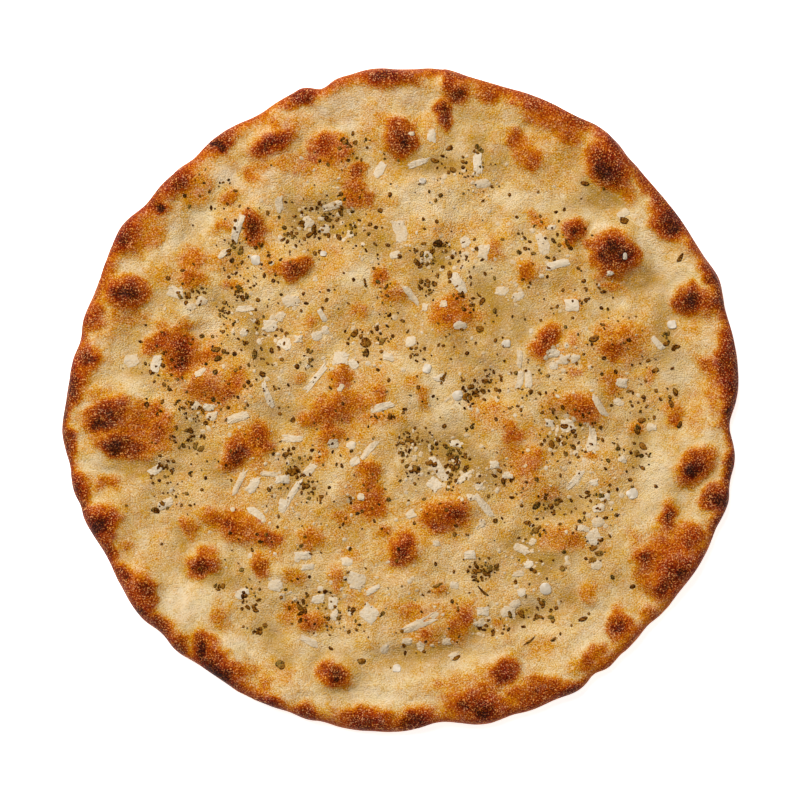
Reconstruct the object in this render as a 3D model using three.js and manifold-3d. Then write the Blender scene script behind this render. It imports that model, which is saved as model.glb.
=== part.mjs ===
// Thin round focaccia: a pressed disc of dough with a scalloped rim, baked blisters and finger dimples,
// with shreds of hard cheese and leaves of dried herb lying on it as one solid with the bread.
// Millimetres, +Z up, the flat underside on z = 0, the origin under the middle of the outline's box.
import * as THREE from 'three';
import { mergeVertices } from 'three/addons/utils/BufferGeometryUtils.js';
import Module from 'manifold-3d';

const wasm = await Module();
wasm.setup();

// The disc of dough
const MEAN_RADIUS = 147.6;
const OFF_CENTRE_X = 1.6;
const OFF_CENTRE_Y = -1.0;
const CRUMB_THICKNESS = 7.6;
const RIM_SWELL = 1.7;
const RIM_CREST_INSET = 8;
const RIM_SPREAD = 9;
const EDGE_ROLL = 4.5;

// How finely the disc is divided
const TOP_RINGS = 29;
const SPOKES_PER_RING = 6;
const EDGE_TURNS_DEG = [52, 12, -38];
const BASE_RING_COUNTS = [93, 31];
const BASE_RING_SHARES = [0.9, 0.45];

// Soft waves of the pressed dough, each turned from the last by the golden angle
const WAVE_COUNT = 6;
const WAVE_HEIGHT = 0.42;
const WAVE_LENGTH = 66;
const WAVE_SHRINK = 0.82;
const WAVE_TURN_DEG = 137.5;
const WAVE_PHASE = 1.7;

// Chips lying on the bread: how deep they are set in, how far they stand out
const CHIP_SINK = 1.3;
const SHRED_STAND = 0.9;
const LEAF_STAND = 0.7;
const SHRED_CORNERS = 6;
const LEAF_CORNERS = 4;
const CHIP_UNEVENNESS = 0.22;
const LEAF_LENGTH_MIN = 2.6;
const LEAF_LENGTH_MAX = 4.2;
const LEAF_SLIMNESS = 0.62;
const LEAF_SEED = 20417;
const SHRED_SEED = 7331;

// Bulges and nips of the rim: angle in degrees from +X, push outward, half width in degrees
const SCALLOPS = [
  [126, -3.2, 22], [194, 3.8, 16], [8, 1.7, 8], [20.7, 2.3, 3.8], [40, -0.9, 8], [53, 2.5, 4.6],
  [63, 0.4, 3], [74, -0.6, 6], [83, 1.3, 4], [94.5, 1.3, 4], [104, -2.4, 2], [107.5, 0.6, 2],
  [116, -1.9, 4], [130.5, -1.9, 3.2], [136.5, -0.8, 3], [142, -1.5, 3], [148, 1.3, 3], [160, -2, 5.5],
  [169.5, -1.6, 2.5], [185, 1.5, 4], [191.5, -0.5, 2], [198.3, -0.8, 1.5], [207, -1, 3.5], [219, 2.7, 5.2],
  [224.5, -0.7, 2.5], [228, 1.7, 3], [250.5, -1.2, 2.5], [257, -1, 2.5], [268, -1.1, 9], [277.5, -4.2, 5],
  [289.5, -0.7, 2], [295, 0.4, 3], [301.5, 2.1, 3.2], [305.3, -0.9, 1.6], [308, 1.2, 2.2], [317.5, -0.8, 2],
  [321.5, 0.6, 3], [333, 2.2, 7.5], [342.3, 2.7, 3.6], [350, 1.5, 4], [356, -3, 3.3],
];

// Blisters: x, y, length, width, turn in degrees, rise. First those along the rim, clockwise from the top
const RIM_BLISTERS = [
  [-7, 142, 20, 6, 0, 1], [22, 139, 12, 8, 0, 1], [19, 127, 12, 6, 85, 1.4], [40, 136, 8, 6, 0, 0.8],
  [62, 127, 30, 10, -24, 1.4], [57, 107, 14, 9, -45, 1.6], [90, 106, 24, 17, -60, 3], [119, 78, 18, 12, -45, 2.2],
  [78, 75, 8, 8, 0, 1.8], [95, 65, 23, 20, -45, 4.2], [129, 45, 18, 14, -10, 2.8], [144, 18, 44, 8, 97, 0.9],
  [131, -28, 21, 12, 38, 2.8], [145, -27, 14, 5, 80, 1], [141, -43, 14, 10, 20, 1.8], [119, -50, 14, 8, 88, 1.8],
  [118, -71, 36, 30, 55, 2.4], [108, -68, 10, 9, 0, 1], [129, -59, 11, 9, 30, 0.9], [118, -82, 13, 11, 0, 1],
  [98, -98, 11, 11, 0, 1.6], [83, -113, 17, 9, 38, 1.4], [69, -127, 30, 10, 22, 1], [45, -119, 15, 11, 45, 1.6],
  [33, -135, 26, 11, -5, 1.8], [7, -140, 14, 9, 0, 1.2], [-17, -139, 25, 9, -3, 1], [-42, -138, 12, 5, -15, 0.8],
  [-29, -121, 16, 13, 0, 3.2], [-58, -131, 14, 8, -25, 1], [-79, -116, 30, 14, -42, 2.2],
  [-99, -104, 14, 7, -42, 1.2], [-114, -84, 20, 14, -70, 2.2], [-132, -54, 20, 17, 30, 2.8],
  [-142, -38, 10, 6, -75, 0.9], [-119, -10, 42, 32, 0, 2.8], [-129, -5, 18, 9, 42, 1], [-125, -20, 14, 9, -5, 1],
  [-107, -9, 15, 10, 80, 0.7], [-143, 10, 20, 7, 80, 1], [-135, 38, 8, 6, 60, 0.7], [-121, 47, 18, 14, 0, 2.8],
  [-121, 71, 16, 11, 55, 1.8], [-98, 96, 18, 9, 45, 1.4], [-79, 114, 12, 7, 35, 1], [-57, 114, 22, 11, 27, 2.4],
  [-43, 135, 16, 5, 22, 0.8],
];

// Blisters and low puffs inside the rim, from the top down
const FIELD_BLISTERS = [
  [0, 117, 18, 13, 95, 3.2], [-31, 112, 19, 14, -25, 2], [-18, 96, 20, 9, -50, 1.6], [-64, 78, 14, 7, -62, 1.6],
  [-75, 90, 8, 6, 0, 0.7], [-92, 60, 16, 11, 90, 1.2], [-46, 59, 13, 9, 22, 2], [57, 58, 12, 9, -35, 1],
  [22, 37, 18, 16, 0, 1.6], [65, 27, 17, 8, 65, 1.8], [97, 29, 19, 14, 0, 1.6], [-101, 25, 20, 12, -50, 1.8],
  [-86, 8, 24, 11, -12, 1.6], [-66, 1, 10, 8, 0, 0.9], [-26, 9, 14, 7, 85, 1], [-27, -3, 30, 12, 20, 1.8],
  [-30, -13, 12, 8, 75, 1], [9, 2, 12, 9, -60, 1], [45, -8, 24, 14, 0, 1.4], [79, -3, 22, 10, -20, 1.4],
  [121, -4, 10, 6, 65, 1], [-73, -24, 17, 9, 42, 1.8], [-61, -20, 18, 9, 80, 1.4], [60, -26, 10, 7, 80, 0.8],
  [-13, -36, 26, 10, 85, 1.4], [22, -49, 22, 12, 12, 2.2], [-71, -56, 36, 11, -19, 1.8], [-94, -56, 7, 7, 0, 0.8],
  [-40, -62, 9, 8, 0, 0.7], [3, -66, 13, 11, 25, 2.6], [73, -57, 20, 11, 0, 1.2], [-87, -71, 17, 11, 5, 2.4],
  [-62, -72, 9, 7, 90, 1.2], [-28, -77, 9, 8, 0, 0.8], [85, -87, 12, 9, 0, 1], [-79, -95, 9, 8, 0, 0.8],
  [-40, -97, 14, 9, 0, 1.2], [18, -96, 30, 14, -5, 1.4], [10, -126, 70, 11, -2, 0.9],
];

// Finger dimples and folds: x, y, length, width, turn in degrees, depth
const DIMPLES = [
  [-33, 79, 30, 18, 0, 1.6], [16, 61, 24, 20, 0, 1.5], [14, -25, 30, 26, 0, 1.6], [35, 8, 16, 22, -45, 1.3],
  [-43, -37, 13, 24, 40, 1.4], [72, -17, 26, 20, 0, 1.4], [104, -16, 16, 24, 0, 1.5], [65, -46, 18, 14, 0, 1],
  [38, -76, 18, 11, 20, 0.9], [58, -95, 36, 13, 15, 1.3], [-93, -16, 12, 28, 0, 1.4], [-104, -45, 22, 14, 0, 1.2],
  [12, -113, 56, 9, 3, 1.6], [-46, -92, 20, 13, 0, 0.9], [-15, 27, 20, 17, 0, 1], [-60, 14, 26, 8, -75, 1.2],
  [-72, 61, 16, 15, 0, 1], [-37, 125, 24, 7, -40, 1.3], [82, 111, 14, 5, 70, 1], [108, 45, 28, 8, 60, 1],
  [-104, -31, 24, 7, -8, 1.5], [108, -87, 14, 7, -15, 1.2], [92, 8, 18, 15, 0, 0.9], [30, 46, 18, 13, 0, 0.8],
  [0, 43, 20, 11, 0, 0.8], [15, 105, 26, 14, 0, 0.9], [-95, 80, 17, 22, 0, 1],
];

// Larger cheese shreds and flakes: x, y, length, width, turn in degrees
const CHEESE_SHREDS = [
  [-72, 76, 13, 3.5, 72], [-53.5, 87, 7, 3.5, 88], [8, 105, 11, 2.6, 17], [34.5, 105, 8.5, 4, 88],
  [36.5, 96, 6.5, 3.8, 0], [-30, 86, 8, 3.2, 18], [-9, 102, 6.5, 4.5, 70], [14, 117, 6, 3.8, 90],
  [0, 75, 9.5, 5.5, -78], [26, 51.5, 9.5, 4.5, -58], [37, 66, 6.5, 5, 75], [63, 69.5, 9, 4.5, -67],
  [69.5, 60, 11.5, 4, 13], [-99.5, 47.5, 7, 5, -20], [-119, 17.5, 6, 5.5, 0], [-108, 16, 7.5, 4, 75],
  [-69, 40.5, 7.5, 2.6, 5], [-57.5, 33, 7, 5, 0], [-51, 25, 6, 5, -20], [-72, -8, 10.5, 3.5, 17],
  [-58.5, 2, 13, 3, -70], [-108.5, -31, 6.5, 3.6, 30], [-104, -46, 7, 4, 30], [-71, -36, 13, 2.8, 64],
  [-65, -38, 8, 4, 65], [-52, -35, 6.5, 4, 0], [-47.5, -17, 10, 3.2, -3], [-64, -50, 9, 3.5, -31],
  [-47.5, -41.5, 14, 3, 57], [-48, 44, 7.5, 5, 0], [-26, 18.5, 7, 5.5, 0], [-37, 10, 14, 3, 50],
  [5, 46.5, 10, 3, -50], [45, 48.5, 6, 4, 0], [-7.5, -3, 9, 3.5, 16], [-13.5, -22, 10, 3, 50],
  [-40, -31, 6, 4, 60], [17, -30.5, 11.5, 4, -60], [15, -37.5, 6, 5.5, -50], [28, -34.5, 7.5, 3, 41],
  [37, -46.5, 11.5, 3.2, -51], [53, 9, 8, 3, 78], [57, 9, 8.5, 3.2, 88], [76, 42, 6, 5.5, 0],
  [114, 25.5, 8, 2.8, -45], [88.5, -2.5, 11, 3, -57], [85, -17.5, 11, 4, 85], [74, -11, 6, 5, 0],
  [77.5, -35.5, 11, 2.8, 50], [-70, -85.5, 6, 3.8, 30], [-55, -82, 6, 5, 0], [-19.5, -80, 7.5, 7.2, 0],
  [-13.5, -94.5, 8.5, 6.8, -50], [8.5, -99, 17.5, 3.8, 26], [-40.5, -107, 9.5, 3, -25], [-12, -84, 6.5, 2.6, 30],
  [31, -68.5, 6, 4, 0], [37, -93.5, 6, 4, 0], [48, -94, 6, 4.6, 0], [86, -60.5, 6.4, 6.2, 40],
  [54, -66, 6.5, 4, -30], [64.5, -83.5, 5.4, 5.2, 0], [-43, -69, 7, 4, 0],
];

// Drifts of dried herb: x, y, length, width, turn in degrees, how many large leaves
const HERB_DRIFTS = [
  [-33, 79, 30, 16, 0, 6], [14, -24, 26, 22, 0, 7], [35, 7, 8, 18, -42, 4], [-43, -37, 6, 20, 38, 4],
  [16, 62, 22, 16, 0, 4], [-74, 67, 9, 7, 0, 2], [-71, 49, 8, 8, 0, 1], [-15, 27, 20, 14, 0, 3],
  [30, 44, 14, 12, 0, 3], [71, -17, 14, 14, 0, 4], [65, -46, 14, 10, 0, 3], [104, -11, 9, 8, 0, 3],
  [105, -23, 8, 10, 0, 2], [121, 10, 10, 30, 0, 3], [38, -76, 15, 6, 25, 3], [60, -93, 34, 7, 17, 4],
  [-47, -92, 12, 9, 0, 3], [-65, -95, 10, 8, 0, 2], [-92, -12, 9, 26, 12, 3], [-81, 20, 8, 6, 0, 2],
  [-104, -47, 10, 10, 0, 2], [-61, 14, 6, 22, 12, 2], [46, -35, 10, 8, 0, 2], [86, -66, 10, 12, 0, 2],
  [20, 106, 20, 12, 0, 3], [-20, 115, 14, 4, 0, 1],
];

const UP = new THREE.Vector3(0, 0, 1);
const DEGREE = Math.PI / 180;

// Repeatable draws between 0 and 1
function seededDraw(seed) {
  let state = seed;
  return () => {
    state = (state * 1664525 + 1013904223) % 4294967296;
    return state / 4294967296;
  };
}

// The rim's distance from the origin in one direction
function outlineRadius(angle) {
  let radius = MEAN_RADIUS + OFF_CENTRE_X * Math.cos(angle) + OFF_CENTRE_Y * Math.sin(angle);
  for (const [at, push, spread] of SCALLOPS) {
    const turn = angle - at * DEGREE;
    const away = Math.atan2(Math.sin(turn), Math.cos(turn)) / DEGREE;
    radius += push * Math.exp(-((away / spread) ** 2));
  }
  return radius;
}

// A flat-topped mound, 1 in the middle and half that where the oval ends
function mound(x, y, [atX, atY, length, width, turnDeg]) {
  const cos = Math.cos(turnDeg * DEGREE);
  const sin = Math.sin(turnDeg * DEGREE);
  const along = ((x - atX) * cos + (y - atY) * sin) / (length / 2);
  const across = ((y - atY) * cos - (x - atX) * sin) / (width / 2);
  return 1 / (1 + (along ** 2 + across ** 2) ** 2);
}

// The slow rise and fall of the pressed dough
function waves(x, y) {
  let height = 0;
  for (let k = 0; k < WAVE_COUNT; k += 1) {
    const heading = k * WAVE_TURN_DEG * DEGREE;
    const travel = x * Math.cos(heading) + y * Math.sin(heading);
    const length = WAVE_LENGTH * WAVE_SHRINK ** k;
    height += WAVE_HEIGHT * Math.sin((2 * Math.PI * travel) / length + k * WAVE_PHASE);
  }
  return height;
}

// Height of the baked face over the underside
function faceHeight(x, y) {
  const inset = outlineRadius(Math.atan2(y, x)) - Math.hypot(x, y);
  const crest = Math.exp(-(((inset - RIM_CREST_INSET) / RIM_SPREAD) ** 2));
  let height = CRUMB_THICKNESS + RIM_SWELL * crest + waves(x, y);
  for (const blister of [...RIM_BLISTERS, ...FIELD_BLISTERS]) {
    height += blister[5] * mound(x, y, blister);
  }
  for (const dimple of DIMPLES) {
    height -= dimple[5] * mound(x, y, dimple);
  }
  return height;
}

// One ring of points round the bread, pointAt giving the place for each direction
function ring(count, pointAt) {
  const points = [];
  for (let i = 0; i < count; i += 1) {
    points.push(pointAt((2 * Math.PI * i) / count));
  }
  return points;
}

// Rings from the middle of the face, over the rim, to the middle of the underside
function breadRings() {
  const rings = [[new THREE.Vector3(0, 0, faceHeight(0, 0))]];
  for (let k = 1; k <= TOP_RINGS; k += 1) {
    rings.push(ring(SPOKES_PER_RING * k, (angle) => {
      const reach = ((outlineRadius(angle) - EDGE_ROLL) * k) / TOP_RINGS;
      const x = reach * Math.cos(angle);
      const y = reach * Math.sin(angle);
      return new THREE.Vector3(x, y, faceHeight(x, y));
    }));
  }
  const shoulder = rings[TOP_RINGS];
  const rolled = (turnDeg) => shoulder.map((top) => {
    const outward = new THREE.Vector3(top.x, top.y, 0).normalize();
    const point = outward.multiplyScalar(Math.hypot(top.x, top.y) + EDGE_ROLL * Math.cos(turnDeg * DEGREE));
    return point.setZ((top.z * (1 + Math.sin(turnDeg * DEGREE))) / 2);
  });
  for (const turnDeg of [...EDGE_TURNS_DEG, -90]) {
    rings.push(rolled(turnDeg));
  }
  BASE_RING_COUNTS.forEach((count, i) => {
    rings.push(ring(count, (angle) => {
      const reach = (outlineRadius(angle) - EDGE_ROLL) * BASE_RING_SHARES[i];
      return new THREE.Vector3(reach * Math.cos(angle), reach * Math.sin(angle), 0);
    }));
  });
  rings.push([new THREE.Vector3(0, 0, 0)]);
  return rings;
}

// Triangles between two neighbouring rings whose counts may differ, walking both round together
function stitch(triangles, startA, countA, startB, countB) {
  const stepsA = countA === 1 ? 0 : countA;
  const stepsB = countB === 1 ? 0 : countB;
  let a = 0;
  let b = 0;
  while (a < stepsA || b < stepsB) {
    const advanceB = a === stepsA || (b < stepsB && (b + 0.5) * stepsA <= (a + 0.5) * stepsB);
    const atA = startA + (a % countA);
    const atB = startB + (b % countB);
    if (advanceB) {
      triangles.push(atA, atB, startB + ((b + 1) % countB));
      b += 1;
    } else {
      triangles.push(atA, atB, startA + ((a + 1) % countA));
      a += 1;
    }
  }
}

function breadGeometry() {
  const rings = breadRings();
  const triangles = [];
  let start = 0;
  for (let i = 0; i + 1 < rings.length; i += 1) {
    const next = start + rings[i].length;
    stitch(triangles, start, rings[i].length, next, rings[i + 1].length);
    start = next;
  }
  const geometry = new THREE.BufferGeometry().setFromPoints(rings.flat());
  geometry.setIndex(triangles);
  return geometry;
}

// An uneven flat chip lying on the face at its slope, set in and standing out by its thickness
function chipGeometry([x, y, length, width, turnDeg], cornerCount, stand, draw) {
  const corners = [];
  for (let i = 0; i < cornerCount; i += 1) {
    const angle = (2 * Math.PI * (i + 0.5)) / cornerCount;
    const reach = 1 + CHIP_UNEVENNESS * (draw() - 0.5);
    corners.push(new THREE.Vector2((reach * length * Math.cos(angle)) / 2, (reach * width * Math.sin(angle)) / 2));
  }
  const geometry = new THREE.ExtrudeGeometry(new THREE.Shape(corners), {
    depth: CHIP_SINK + stand,
    bevelEnabled: false,
  });
  geometry.translate(0, 0, -CHIP_SINK);
  geometry.rotateZ(turnDeg * DEGREE);
  const height = faceHeight(x, y);
  const span = length / 2;
  const slopeX = (faceHeight(x + span, y) - faceHeight(x - span, y)) / (2 * span);
  const slopeY = (faceHeight(x, y + span) - faceHeight(x, y - span)) / (2 * span);
  const normal = new THREE.Vector3(-slopeX, -slopeY, 1).normalize();
  geometry.applyQuaternion(new THREE.Quaternion().setFromUnitVectors(UP, normal));
  geometry.translate(x, y, height);
  return geometry;
}

// Large herb leaves spread by seeded draws over the drifts
function herbLeaves() {
  const draw = seededDraw(LEAF_SEED);
  const leaves = [];
  for (const [x, y, length, width, turnDeg, count] of HERB_DRIFTS) {
    const cos = Math.cos(turnDeg * DEGREE);
    const sin = Math.sin(turnDeg * DEGREE);
    for (let i = 0; i < count; i += 1) {
      const reach = Math.sqrt((i + draw()) / count) / 2;
      const angle = 2 * Math.PI * draw();
      const along = length * reach * Math.cos(angle);
      const across = width * reach * Math.sin(angle);
      const leafLength = LEAF_LENGTH_MIN + (LEAF_LENGTH_MAX - LEAF_LENGTH_MIN) * draw();
      const place = [x + along * cos - across * sin, y + along * sin + across * cos];
      leaves.push([...place, leafLength, leafLength * LEAF_SLIMNESS, 360 * draw()]);
    }
  }
  return leaves;
}

function toSolid(geometry) {
  const bare = new THREE.BufferGeometry().setAttribute('position', geometry.getAttribute('position'));
  bare.setIndex(geometry.getIndex());
  const merged = mergeVertices(bare, 1e-3);
  return new wasm.Manifold(new wasm.Mesh({
    numProp: 3,
    vertProperties: new Float32Array(merged.getAttribute('position').array),
    triVerts: new Uint32Array(merged.getIndex().array),
  }));
}

function toGeometry(solid) {
  const mesh = solid.getMesh();
  const geometry = new THREE.BufferGeometry();
  geometry.setAttribute('position', new THREE.BufferAttribute(mesh.vertProperties, 3));
  geometry.setIndex(new THREE.BufferAttribute(mesh.triVerts, 1));
  geometry.computeVertexNormals();
  return geometry;
}

const shredDraw = seededDraw(SHRED_SEED);
const leafDraw = seededDraw(LEAF_SEED + 1);
let breadSolid = toSolid(breadGeometry());
for (const shred of CHEESE_SHREDS) {
  breadSolid = breadSolid.add(toSolid(chipGeometry(shred, SHRED_CORNERS, SHRED_STAND, shredDraw)));
}
for (const leaf of herbLeaves()) {
  breadSolid = breadSolid.add(toSolid(chipGeometry(leaf, LEAF_CORNERS, LEAF_STAND, leafDraw)));
}

const crust = new THREE.MeshStandardMaterial({ color: '#d3a660', roughness: 0.75, metalness: 0 });
const focaccia = new THREE.Mesh(toGeometry(breadSolid), crust);
focaccia.name = 'focaccia';

const group = new THREE.Group();
group.name = 'focaccia_part';
group.add(focaccia);
export default group;
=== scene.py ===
"""A thin round focaccia: pressed dough with a scalloped rim, browned blisters, cheese, herb and salt.

Lengths in the constants and tables are millimetres in the bread's own frame: the origin is under its middle,
+Y points away and +Z up.
"""

from collections import namedtuple
import math

import bpy
import numpy as np
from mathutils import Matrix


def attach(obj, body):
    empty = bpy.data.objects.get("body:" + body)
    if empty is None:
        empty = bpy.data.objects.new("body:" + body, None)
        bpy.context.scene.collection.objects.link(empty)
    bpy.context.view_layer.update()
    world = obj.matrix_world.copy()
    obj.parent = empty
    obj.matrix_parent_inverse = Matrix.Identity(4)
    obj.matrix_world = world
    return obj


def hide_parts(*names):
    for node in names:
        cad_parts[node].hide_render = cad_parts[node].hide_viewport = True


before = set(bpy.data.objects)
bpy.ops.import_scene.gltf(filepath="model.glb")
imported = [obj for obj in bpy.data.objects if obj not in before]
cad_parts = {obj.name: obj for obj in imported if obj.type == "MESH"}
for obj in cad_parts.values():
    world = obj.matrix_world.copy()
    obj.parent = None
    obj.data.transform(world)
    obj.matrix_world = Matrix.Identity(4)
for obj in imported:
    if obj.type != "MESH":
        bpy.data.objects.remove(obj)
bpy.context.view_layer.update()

bl_info = {
    "name": "Round focaccia",
    "version": (1, 0, 0),
    "blender": (4, 5, 0),
    "location": "View3D > Sidebar > Focaccia",
    "description": "Bakes a thin round focaccia with its cheese, herb and salt, and sets a plain stage",
    "category": "Object",
}

MM = 0.001

# The disc of dough
MEAN_RADIUS = 147.6
OFF_CENTRE_X = 1.6
OFF_CENTRE_Y = -1.0
RIM_CREST_INSET = 8.0
RIM_SPREAD = 9.0

# How finely the face, the rim and the underside are cut, and the gap within which their seam is merged
SPOKES = 6
SPOKE_NUDGE = 1e-5
FACE_CUTS = (13, 9)
UNDERSIDE_CUTS = (6, 9)
EDGE_TURNS_DEG = (66, 44, 22, 0, -22, -46, -70, -90)
SEAM_GAP = 0.02

# Soft waves of the pressed dough, each turned from the last by the golden angle
WAVE_COUNT = 6
WAVE_HEIGHT = 0.42
WAVE_LENGTH = 66.0
WAVE_SHRINK = 0.82
WAVE_TURN_DEG = 137.5
WAVE_PHASE = 1.7

# Layers of seeded noise: strength, size of its lumps, seed
FACE_LUMPS = ((0.42, 13, 11), (0.4, 6.5, 12), (0.22, 3.4, 13))
STRAY_X = ((1.6, 8, 21), (1.2, 3.2, 22))
STRAY_Y = ((1.6, 8, 23), (1.2, 3.2, 24))
UNEVEN_CRUST = ((0.05, 15, 26), (0.05, 6, 27))
UNEVEN_RIM = ((0.08, 17, 28),)
UNEVEN_BAND = ((2.0, 24, 29),)
# The next layers follow the face's first two lumps, turned over, so oil and painted shade gather in the
# valleys between them
SHADE_AND_OIL_IN_VALLEYS = ((0.08, 13, 11), (0.1, 6.5, 12))
UNDERSIDE_SPOTS = ((0.2, 24, 41), (0.16, 10, 42), (0.08, 4, 43))
UNDERSIDE_PITS = ((1.6, 7, 44),)
WALL_BULGES = ((0.35, 3, 51),)
NOISE_SPAN = 400
NOISE_MARGIN = 4

# How flat the tops of mounds are: a power
MOUND_POWER = 4

# Fine relief: bubbles in browned crust, hollows under oil, pits in the underside and bulges of the wall
BUBBLE_RISE = 0.9
BUBBLE_BROWNING = 0.55
HOLLOW_DEPTH = 0.6
PIT_DEPTH = 0.5
PIT_LEVEL = 0.5
PIT_FADE = 12
BULGE_LENGTHEN = 4
BULGE_FLATTEN = 3

# How the oven browns the crust, from 0 pale to 1 charred: the darkest of the marks at a point wins
BARE_CRUST = 0.15
PALE_DROP = 0.14
DARKEST_WINS = 5
MARK_EDGE = 3.6
MARK_EDGE_SHARE = 1.5
MARK_CORE = 0.75
CORE_WEIGHT = 0.4
HALO = 0.28
HALO_FULL_FROM = 0.5
HALO_WIDTH = 4.0
HALO_OVERLAP = 0.75
RIM_BROWNING = 0.6
RIM_BAND = 5.5
UNDERSIDE_BROWNING = 0.46
UNDERSIDE_RANGE = (0.12, 0.95)

# The wall pales from the edge down to the oven floor, by shares of its height
WALL_PALING = 0.62
WALL_PALES_BELOW = 0.79
WALL_PALES_OVER = 0.58
WALL_MARGIN = 0.01

# How oil gathers: away from the edge, at the foot of blisters, in dimples and under drifts of herb; at the
# foot of blisters and in dimples its darkening is painted shade as well as oil
DRY_CRUST = 0.3
OIL_INSIDE = 0.34
OIL_PAST_EDGE = 4
OIL_RISES_OVER = 32
SHADE_AND_OIL_AT_FOOT = 0.1
FOOT_REACH = 1.4
FOOT_WIDTH = 2.5
SHADE_AND_OIL_IN_DIMPLE = 0.12
OIL_IN_DRIFT = 0.08
OIL_AND_SHADE_RANGE = (-0.5, 1)
UNDERSIDE_OIL = 0.4

# Bulges and nips of the rim: angle in degrees from +X, push outward, half width in degrees
SCALLOPS = (
    (126, -3.2, 22), (194, 3.8, 16), (8, 1.7, 8), (20.7, 2.3, 3.8), (40, -0.9, 8), (53, 2.5, 4.6),
    (63, 0.4, 3), (74, -0.6, 6), (83, 1.3, 4), (94.5, 1.3, 4), (104, -2.4, 2), (107.5, 0.6, 2),
    (116, -1.9, 4), (130.5, -1.9, 3.2), (136.5, -0.8, 3), (142, -1.5, 3), (148, 1.3, 3), (160, -2, 5.5),
    (169.5, -1.6, 2.5), (185, 1.5, 4), (191.5, -0.5, 2), (198.3, -0.8, 1.5), (207, -1, 3.5),
    (219, 2.7, 5.2), (224.5, -0.7, 2.5), (228, 1.7, 3), (250.5, -1.2, 2.5), (257, -1, 2.5), (268, -1.1, 9),
    (277.5, -4.2, 5), (289.5, -0.7, 2), (295, 0.4, 3), (301.5, 2.1, 3.2), (305.3, -0.9, 1.6),
    (308, 1.2, 2.2), (317.5, -0.8, 2), (321.5, 0.6, 3), (333, 2.2, 7.5), (342.3, 2.7, 3.6), (350, 1.5, 4),
    (356, -3, 3.3),
)

# Blisters along the rim, clockwise from the top: x, y, length, width, turn in degrees, rise
RIM_BLISTERS = (
    (-7, 142, 20, 6, 0, 1), (22, 139, 12, 8, 0, 1), (19, 127, 12, 6, 85, 1.4), (40, 136, 8, 6, 0, 0.8),
    (62, 127, 30, 10, -24, 1.4), (57, 107, 14, 9, -45, 1.6), (90, 106, 24, 17, -60, 3),
    (119, 78, 18, 12, -45, 2.2), (78, 75, 8, 8, 0, 1.8), (95, 65, 23, 20, -45, 4.2),
    (129, 45, 18, 14, -10, 2.8), (144, 18, 44, 8, 97, 0.9), (131, -28, 21, 12, 38, 2.8),
    (145, -27, 14, 5, 80, 1), (141, -43, 14, 10, 20, 1.8), (119, -50, 14, 8, 88, 1.8),
    (118, -71, 36, 30, 55, 2.4), (108, -68, 10, 9, 0, 1), (129, -59, 11, 9, 30, 0.9),
    (118, -82, 13, 11, 0, 1), (98, -98, 11, 11, 0, 1.6), (83, -113, 17, 9, 38, 1.4),
    (69, -127, 30, 10, 22, 1), (45, -119, 15, 11, 45, 1.6), (33, -135, 26, 11, -5, 1.8),
    (7, -140, 14, 9, 0, 1.2), (-17, -139, 25, 9, -3, 1), (-42, -138, 12, 5, -15, 0.8),
    (-29, -121, 16, 13, 0, 3.2), (-58, -131, 14, 8, -25, 1), (-79, -116, 30, 14, -42, 2.2),
    (-99, -104, 14, 7, -42, 1.2), (-114, -84, 20, 14, -70, 2.2), (-132, -54, 20, 17, 30, 2.8),
    (-142, -38, 10, 6, -75, 0.9), (-119, -10, 42, 32, 0, 2.8), (-129, -5, 18, 9, 42, 1),
    (-125, -20, 14, 9, -5, 1), (-107, -9, 15, 10, 80, 0.7), (-143, 10, 20, 7, 80, 1),
    (-135, 38, 8, 6, 60, 0.7), (-121, 47, 18, 14, 0, 2.8), (-121, 71, 16, 11, 55, 1.8),
    (-98, 96, 18, 9, 45, 1.4), (-79, 114, 12, 7, 35, 1), (-57, 114, 22, 11, 27, 2.4),
    (-43, 135, 16, 5, 22, 0.8),
)

# Blisters and low puffs inside the rim, from the top down: x, y, length, width, turn in degrees, rise
FIELD_BLISTERS = (
    (0, 117, 18, 13, 95, 3.2), (-31, 112, 19, 14, -25, 2), (-18, 96, 20, 9, -50, 1.6),
    (-64, 78, 14, 7, -62, 1.6), (-75, 90, 8, 6, 0, 0.7), (-92, 60, 16, 11, 90, 1.2),
    (-46, 59, 13, 9, 22, 2), (57, 58, 12, 9, -35, 1), (22, 37, 18, 16, 0, 1.6), (65, 27, 17, 8, 65, 1.8),
    (97, 29, 19, 14, 0, 1.6), (-101, 25, 20, 12, -50, 1.8), (-86, 8, 24, 11, -12, 1.6),
    (-66, 1, 10, 8, 0, 0.9), (-26, 9, 14, 7, 85, 1), (-27, -3, 30, 12, 20, 1.8), (-30, -13, 12, 8, 75, 1),
    (9, 2, 12, 9, -60, 1), (45, -8, 24, 14, 0, 1.4), (79, -3, 22, 10, -20, 1.4), (121, -4, 10, 6, 65, 1),
    (-73, -24, 17, 9, 42, 1.8), (-61, -20, 18, 9, 80, 1.4), (60, -26, 10, 7, 80, 0.8),
    (-13, -36, 26, 10, 85, 1.4), (22, -49, 22, 12, 12, 2.2), (-71, -56, 36, 11, -19, 1.8),
    (-94, -56, 7, 7, 0, 0.8), (-40, -62, 9, 8, 0, 0.7), (3, -66, 13, 11, 25, 2.6),
    (73, -57, 20, 11, 0, 1.2), (-87, -71, 17, 11, 5, 2.4), (-62, -72, 9, 7, 90, 1.2),
    (-28, -77, 9, 8, 0, 0.8), (85, -87, 12, 9, 0, 1), (-79, -95, 9, 8, 0, 0.8), (-40, -97, 14, 9, 0, 1.2),
    (18, -96, 30, 14, -5, 1.4), (10, -126, 70, 11, -2, 0.9),
)

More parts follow.
